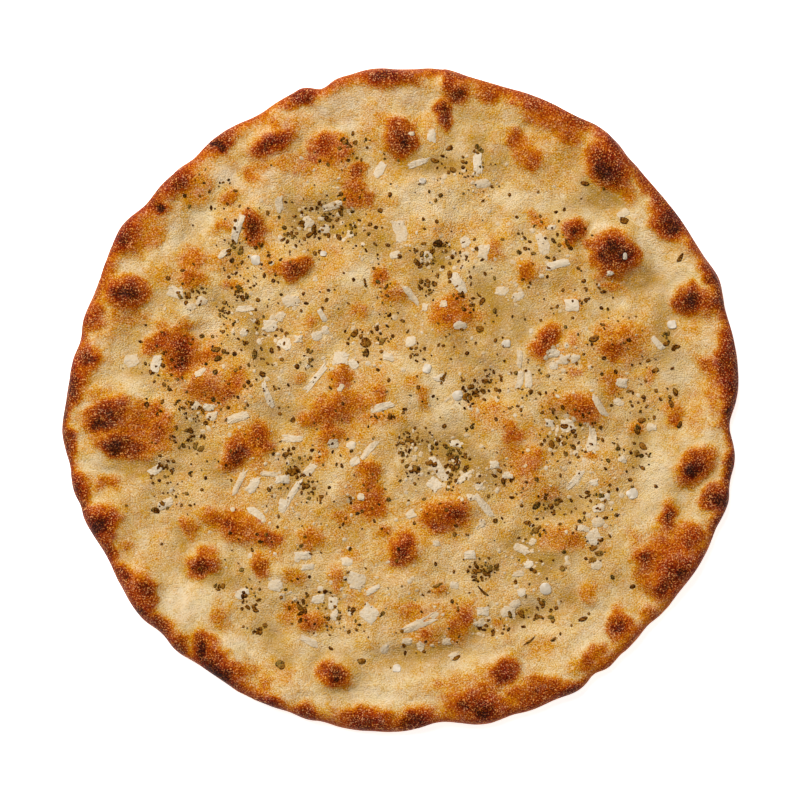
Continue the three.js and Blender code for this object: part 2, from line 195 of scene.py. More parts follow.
# Finger dimples and folds: x, y, length, width, turn in degrees, depth
DIMPLES = (
    (-33, 79, 30, 18, 0, 1.6), (16, 61, 24, 20, 0, 1.5), (14, -25, 30, 26, 0, 1.6),
    (35, 8, 16, 22, -45, 1.3), (-43, -37, 13, 24, 40, 1.4), (72, -17, 26, 20, 0, 1.4),
    (104, -16, 16, 24, 0, 1.5), (65, -46, 18, 14, 0, 1), (38, -76, 18, 11, 20, 0.9),
    (58, -95, 36, 13, 15, 1.3), (-93, -16, 12, 28, 0, 1.4), (-104, -45, 22, 14, 0, 1.2),
    (12, -113, 56, 9, 3, 1.6), (-46, -92, 20, 13, 0, 0.9), (-15, 27, 20, 17, 0, 1),
    (-60, 14, 26, 8, -75, 1.2), (-72, 61, 16, 15, 0, 1), (-37, 125, 24, 7, -40, 1.3),
    (82, 111, 14, 5, 70, 1), (108, 45, 28, 8, 60, 1), (-104, -31, 24, 7, -8, 1.5),
    (108, -87, 14, 7, -15, 1.2), (92, 8, 18, 15, 0, 0.9), (30, 46, 18, 13, 0, 0.8),
    (0, 43, 20, 11, 0, 0.8), (15, 105, 26, 14, 0, 0.9), (-95, 80, 17, 22, 0, 1),
)

# Browned patches and their scorched cores, from the top left: x, y, length, width, turn in degrees, browning
BROWN_MARKS = (
    (-80, 114.5, 18, 11, 45, 0.72), (-80.5, 112, 9, 7, 0, 0.83), (-80.5, 112, 7, 6, 0, 1.1),
    (-97.5, 97, 18, 12, 45, 0.7), (-97.5, 95.5, 11, 7, 40, 0.82), (-107.5, 86, 12, 9, -10, 0.7),
    (-106.5, 85.5, 7, 6, 0, 0.84), (-105.8, 85.2, 6, 6.5, 0, 1.1), (-121, 72, 20, 14, 62, 0.7),
    (-121.5, 69.5, 12, 9, -15, 0.82), (-57, 113.5, 24, 11, 24, 0.71), (-58, 113, 18, 7, 24, 0.8),
    (-64.5, 77, 19, 12, -75, 0.72), (-64.5, 77, 11, 8, -75, 0.82), (-93, 63, 13, 11, 0, 0.47),
    (-91, 54, 15, 9, -10, 0.5), (-67, 99.5, 7, 9, 0, 0.46), (-75, 90, 9, 8, 0, 0.46),
    (-78, 77, 8, 6, 45, 0.4), (-75, 53, 9, 6, -30, 0.4), (-54, 57.5, 10, 6, 0, 0.38),
    (-110, 78, 18, 14, 50, 0.3), (-44, 134.5, 18, 8, 20, 0.81), (-29, 139, 11, 6, 20, 0.52),
    (-5, 143, 27, 11, 0, 0.7), (-7.5, 142.5, 17, 8, 0, 0.82), (15, 145, 9, 5, -5, 0.55),
    (21.5, 142, 9, 12, 0, 0.68), (25.5, 136.5, 13, 10, -10, 0.7), (26, 136, 7, 6, 0, 0.82),
    (19.5, 127, 15, 9, 85, 0.72), (19, 128, 10, 6, 85, 0.82), (39, 135.5, 12, 10, 0, 0.66),
    (0, 117, 20, 14, 95, 0.7), (0.5, 114.5, 13, 13, 0, 0.82), (0.5, 113.5, 6, 5, 0, 0.98),
    (6, 113.5, 6, 6, 0, 0.66), (-31, 111, 21, 16, -15, 0.51), (-33, 113, 8, 13, 0, 0.64),
    (-38, 106, 7, 6, 0, 0.64), (-26, 108, 6, 5, 0, 0.64), (-18, 101.5, 9, 7, 0, 0.66),
    (-20, 95, 13, 12, -20, 0.53), (-21, 88.5, 11, 8, 0, 0.5), (-14, 90, 10, 6, -50, 0.52),
    (-46, 59, 15, 11, 15, 0.69), (-46, 58.5, 6, 6, 0, 0.8), (-8.5, 54, 9, 7, 75, 0.5),
    (42, 66, 7, 11, 0, 0.38), (66, 125, 30, 14, -26, 0.52), (60, 129, 14, 9, -28, 0.63),
    (78, 123, 14, 8, -30, 0.67), (75, 117, 10, 9, 0, 0.5), (56.5, 108.5, 18, 11, -50, 0.52),
    (58, 105, 8, 7, 0, 0.64), (51, 116, 9, 9, -50, 0.55), (91.5, 104.5, 27, 19, -62, 0.7),
    (91, 103, 20, 14, -58, 0.82), (90, 100.5, 8, 11, 25, 0.97), (94.5, 113.5, 13, 8, -52, 0.78),
    (119, 79.5, 22, 17, -45, 0.7), (119.5, 78.5, 15, 13, -40, 0.83), (121, 76, 8, 7, -10, 0.96),
    (115, 87.5, 12, 8, -52, 0.68), (77.5, 74.5, 12, 12, 0, 0.7), (77.5, 74.5, 7, 7, 0, 0.84),
    (77.3, 74, 4, 4, 0, 1), (75, 69.5, 6, 6, 0, 0.6), (94.8, 64.8, 25, 22, -42, 0.7),
    (95, 65, 20, 17, -42, 0.84), (92.8, 69, 8, 10, 20, 0.98), (99.5, 62, 9, 7, -20, 0.95),
    (90, 62.5, 6, 6, 0, 0.88), (93, 53.5, 18, 6, 0, 0.42), (85, 69, 8, 6, 0, 0.52),
    (56.5, 57.5, 9, 11, 0, 0.52), (60, 80.5, 13, 8, -20, 0.38), (100, 93, 16, 9, -55, 0.46),
    (109, 97, 28, 9, -53, 0.64), (-121, 47, 20, 15, 0, 0.71), (-121.5, 46.5, 15, 10, 0, 0.84),
    (-122, 46, 10, 6, 0, 0.97), (-122, 37, 20, 8, 0, 0.36), (-136, 37, 14, 10, 70, 0.66),
    (-139, 17.5, 15, 12, 70, 0.68), (-138.7, 17, 8, 8, 0, 0.82), (-144, 6, 18, 11, 75, 0.7),
    (-144, 6, 12, 7, 75, 0.83), (-147.5, -6, 9, 6, 90, 0.81), (-147, -19, 17, 8, -75, 0.74),
    (-141, -40, 16, 12, -70, 0.68), (-141.5, -40, 7, 5, -75, 0.82), (-119, -12.5, 41, 27, -6, 0.52),
    (-130.5, -6.5, 23, 13, 38, 0.81), (-133.5, -10, 8, 6, 50, 0.97), (-129, -4.5, 5, 5, 60, 0.95),
    (-126, -20.5, 18, 11, -12, 0.83), (-127, -21, 10, 6, -12, 0.97), (-107, -14.5, 14, 7, 85, 0.63),
    (-118, -22, 12, 8, 20, 0.66), (-108, -5, 6, 5, 0, 0.6), (-114, -11, 7, 5, 30, 0.6),
    (-98, 21, 22, 17, 80, 0.66), (-97, 20, 15, 8, 80, 0.78), (-98, 15, 9, 6, -20, 0.74),
    (-106, 26.5, 17, 9, 35, 0.64), (-104.5, 29, 5, 4, 40, 0.8), (-95, 33, 11, 7, 0, 0.44),
    (-88.5, 19, 10, 9, 0, 0.52), (-82, 20, 11, 8, 60, 0.46), (-87, 5, 19, 13, -10, 0.52),
    (-75.5, 5.5, 16, 11, 45, 0.5), (-75.5, 3, 6, 6, 0, 0.62), (-73, -24.5, 19, 13, 50, 0.7),
    (-73, -25, 12, 7, 50, 0.8), (-62, -17, 15, 10, -72, 0.67), (-67, -20, 25, 16, 25, 0.48),
    (-129, -37, 11, 7, 0, 0.48), (-2.5, 47, 12, 10, 0, 0.4), (23, 39, 20, 15, 15, 0.47),
    (20.5, 38, 6, 6, 0, 0.58), (25, 44, 6, 6, 0, 0.42), (33, 38, 14, 7, 0, 0.38),
    (-45, 9.5, 6, 6, 0, 0.34), (-26, 9.5, 16, 10, 85, 0.52), (-10, 4, 11, 7, 85, 0.5),
    (-28, -4, 34, 14, 15, 0.5), (-32, -6, 9, 7, 0, 0.6), (-31, -14, 12, 10, 60, 0.52),
    (-41, -8, 10, 8, 0, 0.44), (-10, -8, 24, 6, 0, 0.36), (10.5, 1, 13, 6, 100, 0.37),
    (-14, -31, 14, 12, 0, 0.53), (-13, -39, 10, 18, 0, 0.47), (-13, -47, 16, 11, 10, 0.58),
    (-34, -24, 8, 10, 0, 0.38), (47.5, -13, 8, 12, 0, 0.48), (49, -23, 9, 11, 0, 0.38),
    (51, -15, 8, 7, 0, 0.48), (-40, 34, 8, 6, 0, 0.38), (-19, 40, 7, 11, 0, 0.36),
    (129, 44.5, 18, 15, 0, 0.7), (128.5, 44, 13, 12, 0, 0.83), (128, 44, 8, 8, 0, 0.97),
    (138, 42, 10, 12, 0, 0.5), (146, 14, 42, 12, 95, 0.82), (146, -5, 7, 5, 85, 0.95),
    (142, 45, 14, 6, -72, 0.8), (137, 16, 12, 7, -5, 0.58), (65, 26, 17, 10, 65, 0.67),
    (65, 26, 9, 6, 60, 0.8), (98, 26, 26, 20, 0, 0.38), (94, 22, 10, 9, 0, 0.62),
    (102, 26, 9, 12, 0, 0.38), (98, 31, 9, 7, 0, 0.45), (94, 8, 13, 16, 0, 0.38), (77, 12, 8, 8, 0, 0.38),
    (112, 10, 6, 10, 0, 0.38), (77, 25, 6, 8, 0, 0.38), (82, -4.5, 22, 13, -25, 0.54),
    (83, -5, 9, 6, -10, 0.61), (68, -2, 14, 10, 0, 0.34), (105, -11, 9, 7, 0, 0.44),
    (121, -5, 9, 13, 0, 0.4), (120.5, -9, 6, 7, 0, 0.54), (131, -29.5, 22, 14, 42, 0.7),
    (131, -30, 16, 9, 40, 0.83), (129, -32, 7, 6, 40, 0.97), (146, -30, 20, 8, 83, 0.83),
    (140.5, -43.5, 16, 13, 20, 0.83), (141.5, -44.5, 8, 9, 0, 0.95), (119, -51, 14, 9, 88, 0.7),
    (119, -50.5, 8, 6, 88, 0.83), (67, -42, 16, 9, 10, 0.36), (60.5, -26, 7, 12, 0, 0.48),
    (55, -28, 18, 20, 0, 0.36), (86.5, -25, 5, 5, 0, 0.44), (93, 48.5, 16, 6, 0, 0.42),
    (-132.5, -55, 20, 17, 30, 0.71), (-132.5, -56, 15, 13, 30, 0.85), (-133.5, -57, 10, 9, 0, 0.98),
    (-129, -66, 12, 8, -60, 0.72), (-121, -63, 8, 6, 0, 0.4), (-122.5, -78, 11, 10, -60, 0.7),
    (-122.5, -78.5, 6, 6, 0, 0.83), (-114, -87, 23, 14, -80, 0.66), (-112.5, -84, 11, 9, 0, 0.83),
    (-115.5, -94, 8, 6, -40, 0.87), (-106, -100, 14, 10, -50, 0.74), (-99, -109, 14, 8, -40, 0.78),
    (-97, -105, 7, 6, 0, 0.66), (-82, -117, 30, 14, -42, 0.75), (-80.5, -119.5, 28, 9, -40, 0.85),
    (-87.5, -110.5, 6, 8, 0, 0.98), (-80, -120.5, 22, 7, -40, 0.97), (-57, -134, 15, 7, -20, 0.84),
    (-87, -73, 18, 10, 0, 0.7), (-87.5, -73, 12, 6, 0, 0.84), (-84, -67, 9, 8, 0, 0.54),
    (-93.5, -56.5, 8, 11, 30, 0.5), (-71, -57, 40, 14, -20, 0.53), (-75, -56, 20, 9, -25, 0.64),
    (-76, -55.5, 7, 6, 0, 0.78), (-57.5, -61, 13, 10, -20, 0.68), (-62, -73, 11, 7, -45, 0.66),
    (-79, -96, 9, 11, 0, 0.38), (-29, -122, 17, 13, -20, 0.7), (-28.5, -123, 12, 9, -20, 0.82),
    (-28, -124.5, 4, 4, 0, 0.95), (-42, -139, 14, 8, -20, 0.8), (-15, -141, 30, 12, -3, 0.68),
    (-15, -143.5, 20, 8, -4, 0.85), (7, -142, 21, 10.5, 15, 0.74), (6.5, -142.5, 16, 8, 15, 0.85),
    (35, -136, 29, 16, -8, 0.7), (38, -138, 13, 10, -10, 0.84), (37.5, -139.5, 8, 6, 0, 0.98),
    (28, -134.5, 8, 7, 0, 0.86), (46, -120, 18, 12, 60, 0.69), (45.5, -122, 9, 8, 45, 0.81),
    (37, -129, 16, 10, 15, 0.56), (2, -66.5, 16, 13, 60, 0.7), (2.5, -66, 10, 9, 50, 0.82),
    (20, -52, 25, 15, 15, 0.62), (23, -51, 12, 7, 5, 0.81), (14, -56, 6, 5, 0, 0.72),
    (-26, -52, 10, 8, 0, 0.44), (-40, -62, 13, 12, 0, 0.46), (-7, -58, 9, 7, 0, 0.46),
    (-29, -80, 15, 8, 85, 0.4), (-47, -78, 11, 9, 0, 0.38), (-39, -98, 17, 10, -10, 0.5),
    (-40, -97, 8, 7, 0, 0.61), (-48, -93, 8, 9, 0, 0.44), (27, -99, 20, 11, 72, 0.5),
    (28.5, -96, 7, 6, 80, 0.6), (12, -105, 13, 12, 0, 0.4), (10.5, -104, 6, 6, 0, 0.6),
    (5, -93, 16, 9, 0, 0.38), (17, -83, 9, 6, 0, 0.38), (44, -100, 7, 6, 0, 0.34),
    (17, -126, 6, 7, 0, 0.38), (119, -71, 38, 27, 55, 0.54), (122, -76.5, 23, 13, 45, 0.79),
    (117, -83, 11, 8, 35, 0.8), (125.5, -76, 4, 5, 0, 0.95), (120, -83, 6, 3, 25, 0.95),
    (129, -60, 13, 11, 30, 0.64), (129, -63, 5, 5, 0, 0.77), (107.5, -70.5, 12, 14, 0, 0.66),
    (108, -70, 7, 8, 0, 0.8), (97, -99.5, 15, 13, 20, 0.7), (97.5, -100, 7, 5, 0, 0.82),
    (82, -115.5, 8, 7, 0, 0.58), (86, -113.5, 16, 9, 30, 0.48), (104, -104, 12, 5, 45, 0.54),
    (62, -130, 34, 15, 10, 0.67), (75, -128.5, 16, 7, 25, 0.84), (78.5, -61.5, 10, 8, 0, 0.4),
    (72, -61, 28, 12, 0, 0.33), (84, -85, 11, 12, 0, 0.38), (111, -94, 10, 8, 45, 0.56),
    (-93, 96, 20, 22, 40, 0.36), (-112, 72, 14, 14, 0, 0.4), (-116, 66, 14, 8, 10, 0.4),
    (5, 8, 10, 5, 10, 0.34), (138, 44, 8, 14, 0, 0.55), (139, 54, 12, 8, -60, 0.78),
    (-74, 9, 8, 14, -30, 0.48), (-87.5, -109, 9, 12, 10, 0.75), (-61, -126, 7, 7, 0, 0.4),
    (139, 6, 9, 30, 0, 0.36), (-66, -120, 10, 9, 0, 0.38), (-104, 33, 10, 8, 0, 0.36),
    (-84, -107, 7, 6, 40, 0.55), (-70, -121, 6, 8, 30, 0.6), (-127, -59, 6, 8, 20, 0.62),
    (50, 131, 8, 4, -20, 0.5), (-56, 123, 7, 5, 20, 0.42),
)

# Broad golden stretches of the middle: x, y, length, width, turn in degrees, browning
GOLDEN_MARKS = (
    (-86, 6, 46, 34, -20, 0.3), (-100, 55, 38, 13, 0, 0.27), (-52, 60, 30, 10, -8, 0.28),
    (26, 38, 30, 24, 0, 0.26), (58, 57, 20, 14, 0, 0.26), (97, 27, 24, 24, 0, 0.26),
    (78, -5, 30, 17, 0, 0.26), (55, -30, 30, 42, 0, 0.26), (74, -62, 28, 11, 0, 0.28),
    (16, -97, 44, 22, 0, 0.27), (-41, -97, 18, 15, 0, 0.27), (-68, -56, 50, 21, -15, 0.25),
    (-68, -25, 28, 34, 0, 0.24), (-24, -3, 50, 37, 15, 0.27), (-17, -44, 20, 34, 0, 0.26),
    (19, -52, 36, 25, 0, 0.26), (1, -67, 26, 25, 0, 0.25), (2, 114, 24, 30, 0, 0.22),
    (68, 108, 40, 34, -40, 0.22), (-18, -88, 18, 16, 0, 0.24), (-22, -68, 16, 9, 0, 0.27),
    (-52, 119, 30, 12, 30, 0.3), (-45, 105, 26, 12, -10, 0.31), (-25, 101, 16, 10, 0, 0.29),
    (28, -126, 38, 12, 8, 0.28), (80, -116, 18, 8, 30, 0.28), (104, -62, 12, 12, 0, 0.26),
    (84, 102, 12, 9, 0, 0.3), (-132, 2, 18, 12, 0, 0.3), (40, -6, 20, 16, 0, 0.31),
    (-62, -28, 12, 10, 0, 0.3), (-61, 105, 12, 10, 0, 0.3), (-52, -121, 12, 10, 0, 0.25),
    # The mark at 130, 33 is painted shade in a valley, drawn as golden crust
    (103, 57, 14, 10, 0, 0.27), (130, 33, 14, 14, 0, 0.22), (37, -119, 12, 9, 0, 0.28),
    (24, -132, 14, 9, 0, 0.4), (-5, 125, 18, 8, 0, 0.3), (-50, -98, 10, 8, 0, 0.34),
    (-79, 62, 28, 10, 0, 0.28), (23, -40, 11, 9, 0, 0.27), (-10, 12, 10, 16, 0, 0.23),
    (-57, -69, 12, 9, 0, 0.28), (-28, -52, 8, 8, 0, 0.28), (11, -59, 10, 8, 0, 0.28),
    (130, -8, 10, 16, 0, 0.24), (77, 42, 9, 8, 0, 0.32), (-85, 63, 44, 5, 0, 0.27),
    (62, -110, 24, 10, 10, 0.24), (-55, -67, 10, 8, 0, 0.27), (-6, 88, 12, 5, 20, 0.25),
    (-8, 98, 6, 5, 0, 0.27),
)

# Palest places, where the crust is drawn paler: x, y, length, width, turn in degrees, how pale
PALE_MARKS = (
    (-5, -127, 50, 12, -2, 0.85), (70, -108, 34, 20, 10, 0.8), (-100, -95, 22, 16, 20, 1),
    (-73, -109, 20, 8, -25, 1), (115, -36, 14, 36, 0, 1), (135, -15, 17, 12, 0, 0.6),
    (9, 11, 24, 10, -40, 1), (25, -6, 16, 12, 0, 1), (-121, 7, 24, 9, 0, 1), (3, 95, 22, 11, 0, 0.5),
    (25, 93, 12, 18, 0, 0.3), (15, 83, 28, 10, 0, 0.4), (-88, 78, 12, 18, 0, 1), (-25, -38, 14, 11, 0, 1),
    (122, 11, 13, 10, 0, 1), (105, -54, 15, 16, 0, 0.5), (93, -90, 14, 12, 40, 1),
    (-130, -32, 10, 6, 0, 0.9), (30, -117, 26, 10, 15, 0.9), (-30, -110, 18, 7, -5, 0.3),
    (61, 88, 22, 9, 0, 0.9), (86, 80, 16, 8, 0, 0.9), (124, 52, 14, 16, 0, 0.9), (-22, 120, 13, 8, 0, 0.9),
    (5, 131, 16, 11, 0, 0.9), (-100, 67, 14, 10, 20, 1), (-63, 121, 16, 7, 25, 0.9),
    (-90, 35, 15, 10, 0, 0.9), (-43, 4, 10, 12, 0, 1), (110, 63, 14, 16, 0, 0.8), (132, 29, 9, 8, 0, 0.8),
    (74, 97, 14, 12, 0, 0.8), (-119, 58, 16, 8, 10, 1), (10, -38, 12, 12, 0, 0.9),
    (-28, 22, 12, 14, 0, 0.8), (-75, 100, 14, 8, 0, 0.8), (-30, 131, 30, 10, 20, 0.7),
    (40, 60, 14, 8, 0, 0.8), (25, 111, 10, 9, 0, 0.9), (-20, 54, 12, 10, 0, 0.9),
    (104, 85, 10, 18, 30, 0.8), (-92, -84, 16, 14, 0, 0.7), (85, 4, 12, 8, 0, 0.6),
    (-45, -132, 18, 8, -10, 0.8), (0, -133, 20, 8, 0, 0.8), (-84, 93, 24, 8, 50, 0.8),
    (105, 68, 8, 16, -25, 0.9), (95, 40, 16, 9, 20, 1), (-101, -77, 14, 10, 0, 0.6),
)

# Browning along the very edge: angle in degrees from +X, browning added, half width in degrees
RIM_TOAST = (
    (215, 0.12, 45), (5, 0.14, 25), (40, 0.06, 25), (342, 0.08, 18), (186, 0.12, 14), (312, -0.06, 16),
    (130, 0.03, 35),
)

# Places where oil has pooled, its darkening partly painted shade in the valleys, and, below 0, where the
# crust has dried out: x, y, length, width, turn in degrees, strength
OIL_AND_SHADE_POOLS = (
    (-46, 80, 10, 18, 20, 0.8), (-28, 81, 12, 14, -30, 0.8), (-36, 87, 20, 7, 0, 0.25),
    (-14, 72, 32, 11, -25, 1), (14, 62, 20, 12, 10, 0.5), (9, 49, 10, 8, 0, 0.4),
    (14, 104, 42, 8, -4, 0.8), (22, 117, 10, 10, 0, 0.3), (35, 112, 9, 16, 0, 0.7),
    (44, 104, 12, 12, 0, 0.4), (73, 106, 16, 9, 20, 0.35), (96, 88, 20, 8, 10, 0.9),
    (101, 52, 28, 9, 8, 1), (72, 56, 10, 18, 20, 0.4), (68, 72, 7, 22, 10, 0.5), (58, 78, 7, 16, 0, 0.4),
    (40, 39, 12, 28, 12, 0.9), (30, 21, 20, 12, -30, 0.5), (-1, 36, 18, 16, 30, 0.5),
    (-20, 43, 20, 8, 35, 0.4), (-62, 27, 13, 22, 0, 0.8), (-74, 41, 18, 9, -20, 0.6),
    (-94, 47, 22, 8, 0, 0.5), (-73, 62, 8, 12, 0, 0.6), (-50, -6, 16, 9, 0, 0.6),
    (-92, -7, 16, 13, 0, 0.5), (-97, -18, 10, 12, 20, 0.2), (-85, -26, 16, 12, -40, 0.5),
    (-114, -31, 30, 7, -10, 0.8), (-42, -33, 18, 22, 20, 0.45), (6, -15, 16, 10, -30, 0.7),
    (14, -24, 14, 12, 0, 0.4), (26, -23, 14, 22, 20, 0.9), (37, -31, 18, 12, -20, 0.8),
    (45, -37, 12, 8, 0, 0.3), (14, -35, 20, 6, 0, 0.4), (70, -12, 11, 20, 0, 0.9),
    (82, -13, 10, 10, 0, 0.5), (106, -14, 8, 40, -5, 0.5), (94, 5, 12, 18, 0, 0.6),
    (117, 29, 9, 22, 10, 1), (76, 38, 18, 9, 5, 0.6), (72, -47, 22, 11, 5, 0.8), (90, -45, 9, 14, 0, 0.7),
    (60, -66, 18, 16, 0, 0.9), (48, -62, 12, 9, 0, 0.4), (37, -75, 12, 9, 0, 0.6),
    (72, -71, 16, 8, 0, 0.5), (88, -68, 6, 12, 0, 0.6), (75, -88, 10, 9, 0, 0.5),
    (55, -95, 20, 7, 15, 0.6), (38, -102, 26, 7, 15, 0.7), (13, -110, 30, 9, 14, 0.9),
    (-80, -80, 22, 7, -10, 0.8), (-96, -61, 8, 13, 0, 0.7), (-22, -61, 10, 14, 0, 0.5),
    (-34, -90, 12, 18, -30, 0.6), (-60, -102, 14, 9, 0, 0.5), (-64, -84, 10, 12, 20, 0.4),
    (-48, -80, 14, 7, 0, 0.4), (-118, 24, 9, 18, 0, 0.4), (35, 126, 24, 10, 0, 0.4),
    (-57, 15, 10, 14, 0, 0.4), (-45, 112, 60, 34, 35, -0.35), (-5, 129, 24, 12, 0, -0.3),
    (-104, -5, 18, 14, 0, -0.35), (-92, 26, 34, 18, 0, -0.3), (86, 74, 22, 16, 0, -0.3),
    (112, -64, 22, 18, 0, -0.3), (40, -122, 30, 16, 20, -0.3), (5, -60, 14, 14, 0, -0.25),
    (68, 20, 16, 14, 0, -0.25), (84, 95, 11, 10, 0, 0.6), (50, 44, 14, 12, 0, 0.5),
    (54, 31, 8, 14, 0, 0.5), (62, -77, 8, 11, 0, 0.6), (-55, -108, 10, 14, 0, 0.5),
    (-51, -117, 8, 8, 0, 0.7), (8, 24, 12, 12, 0, 0.5), (-114, 14, 10, 14, 0, 0.4),
    (-76, 25, 8, 14, 0, 0.4), (105, 67, 8, 18, -25, -0.5), (80, 87, 22, 7, 10, 0.5),
    (-52, 28, 20, 8, 40, 0.4), (112, -14, 14, 16, 0, 0.25), (102, -48, 16, 8, 0, 0.25),
    (0, -118, 14, 10, 0, 0.22), (54, 13, 14, 12, 0, 0.22), (51, 3, 12, 5, 0, 0.22),
    (20, 76, 14, 9, 0, -0.3), (-22, -40, 16, 8, 0, -0.25), (31, -4, 16, 8, 20, -0.25),
    (-84, -44, 20, 8, 10, -0.25), (12, 4, 5, 10, 20, -0.25),
)

# Cheese shreds and larger flakes: x, y, length, width, turn in degrees
CHEESE_SHREDS = (
    (-72, 76, 13, 3.5, 72), (-53.5, 87, 7, 3.5, 88), (8, 105, 11, 2.6, 17), (34.5, 105, 8.5, 4, 88),
    (36.5, 96, 6.5, 3.8, 0), (-30, 86, 8, 3.2, 18), (-9, 102, 6.5, 4.5, 70), (14, 117, 6, 3.8, 90),
    (0, 75, 9.5, 5.5, -78), (26, 51.5, 9.5, 4.5, -58), (37, 66, 6.5, 5, 75), (63, 69.5, 9, 4.5, -67),
    (69.5, 60, 11.5, 4, 13), (-99.5, 47.5, 7, 5, -20), (-119, 17.5, 6, 5.5, 0), (-108, 16, 7.5, 4, 75),
    (-69, 40.5, 7.5, 2.6, 5), (-57.5, 33, 7, 5, 0), (-51, 25, 6, 5, -20), (-72, -8, 10.5, 3.5, 17),
    (-58.5, 2, 13, 3, -70), (-108.5, -31, 6.5, 3.6, 30), (-104, -46, 7, 4, 30), (-71, -36, 13, 2.8, 64),
    (-65, -38, 8, 4, 65), (-52, -35, 6.5, 4, 0), (-47.5, -17, 10, 3.2, -3), (-64, -50, 9, 3.5, -31),
    (-47.5, -41.5, 14, 3, 57), (-48, 44, 7.5, 5, 0), (-26, 18.5, 7, 5.5, 0), (-37, 10, 14, 3, 50),
    (5, 46.5, 10, 3, -50), (45, 48.5, 6, 4, 0), (-7.5, -3, 9, 3.5, 16), (-13.5, -22, 10, 3, 50),
    (-40, -31, 6, 4, 60), (17, -30.5, 11.5, 4, -60), (15, -37.5, 6, 5.5, -50), (28, -34.5, 7.5, 3, 41),
    (37, -46.5, 11.5, 3.2, -51), (53, 9, 8, 3, 78), (57, 9, 8.5, 3.2, 88), (76, 42, 6, 5.5, 0),
    (114, 25.5, 8, 2.8, -45), (88.5, -2.5, 11, 3, -57), (85, -17.5, 11, 4, 85), (74, -11, 6, 5, 0),
    (77.5, -35.5, 11, 2.8, 50), (-70, -85.5, 6, 3.8, 30), (-55, -82, 6, 5, 0), (-19.5, -80, 7.5, 7.2, 0),
    (-13.5, -94.5, 8.5, 6.8, -50), (8.5, -99, 17.5, 3.8, 26), (-40.5, -107, 9.5, 3, -25),
    (-12, -84, 6.5, 2.6, 30), (31, -68.5, 6, 4, 0), (37, -93.5, 6, 4, 0), (48, -94, 6, 4.6, 0),
    (86, -60.5, 6.4, 6.2, 40), (54, -66, 6.5, 4, -30), (-43, -69, 7, 4, 0),
)

# Smaller cheese flakes: x, y, length, width, turn in degrees
CHEESE_FLAKES = (
    (-78, 65, 5.5, 3, 38), (5, 118, 3, 2, 0), (-41, 79, 5, 4, 40), (-33, 76, 5, 3.5, 0),
    (-22, 73.5, 3, 2.8, 0), (-2, 64, 4.4, 3.4, 20), (12, 64, 4, 3.5, 0), (29, 70, 4.6, 4, 60),
    (99, 82.5, 5, 4, 40), (67, 76.5, 4, 2, 0), (93, 56, 3, 2.2, 0), (-88, 44, 5, 4.2, 0),
    (-92.5, 41.5, 5, 3, 0), (-89, 12, 5.5, 3, 27), (-53, 37, 5, 4, 0), (-69.5, 30, 5, 3.6, 85),
    (-90, -2.5, 4, 3.2, 0), (-84.5, -3.5, 4.6, 3.8, 0), (-83, -7.2, 5, 3.2, 10), (-58, -32.7, 6.4, 2.5, 0),
    (-34.7, 37.8, 5, 3, -50), (-37.2, 28.3, 5, 4, 0), (-45, 27, 4, 3.5, 0), (-33, 31, 3.5, 3.2, 0),
    (-21, 16.3, 4.6, 3, -48), (11, 41, 4, 2.8, 80), (19, 42.7, 3.2, 2.8, 0), (26.3, 33.2, 5, 3.3, 0),
    (52, 46, 4.6, 4, 0), (17, 9.8, 4.6, 2.7, 20), (-26, 5.5, 3.4, 2.7, 60), (5, 26, 5, 4, 0),
    (-5, 19, 4.6, 4.4, 0), (-29.5, -19, 4.2, 3.8, 0), (-21.2, -20.2, 4.4, 3.3, 0),
    (-20, -27.5, 4.8, 3, 30), (-17.5, -43.2, 3.2, 3, 0), (25, -19.5, 5, 3.3, 0), (35, -38.2, 4.2, 4, 0),
    (31.5, -43.2, 3.9, 3.4, 0), (42, -29, 4.8, 3.6, 0), (47.5, -33.5, 4.8, 3.6, 0), (53, 18, 7.5, 2.6, 88),
    (68.5, 20.5, 5.5, 3.2, 0), (73, 18, 4.8, 4.4, 0), (77.5, 18.5, 4.4, 3, 20), (68, 15.2, 4, 3, 0),
    (98.8, 7.2, 4.8, 4.5, 0), (112, -12, 4.3, 3.6, 0), (66, -10, 4, 3.8, 0), (86.2, -36.5, 3.9, 3.6, 0),
    (98.5, -26.5, 3.6, 3, 0), (91, -43, 5, 3.6, 20), (88, -48, 5, 3.4, 0), (5, -50.7, 4, 3.6, 30),
    (36.3, -54.5, 4, 3.9, 0), (16, -63.3, 3.9, 3, 0), (-41, -74, 5, 3, 0), (-24, -71.3, 5, 3.5, 0),
    (-36.5, -88, 5.5, 4.2, 0), (-30, -90, 5.5, 4.2, 80), (-29, -95.5, 5, 3.4, 70), (3, -107, 4.6, 3, 0),
    (9, -109.3, 4, 3.6, 70), (20.5, -107, 4, 3, 0), (-7, -110.5, 4, 3.8, 0), (24, -113.5, 5, 2.7, 25),
    (24, -82, 4, 3.4, 0), (35.5, -98.8, 5.6, 3.2, 30), (88, -53.8, 5, 4, 0), (81, -57, 5, 3, 0),
    (58.5, -62.8, 4, 3, 60), (57, -73, 4, 3.2, 0), (52.7, -77, 4, 3.2, 0), (54, -85.7, 4, 3.8, 0),
    (86.7, -72.8, 5, 3.6, 0), (51, -91, 5, 3.6, 30), (97, -1, 4, 3.6, 0), (-52, -47, 4.8, 3.8, 80),
)

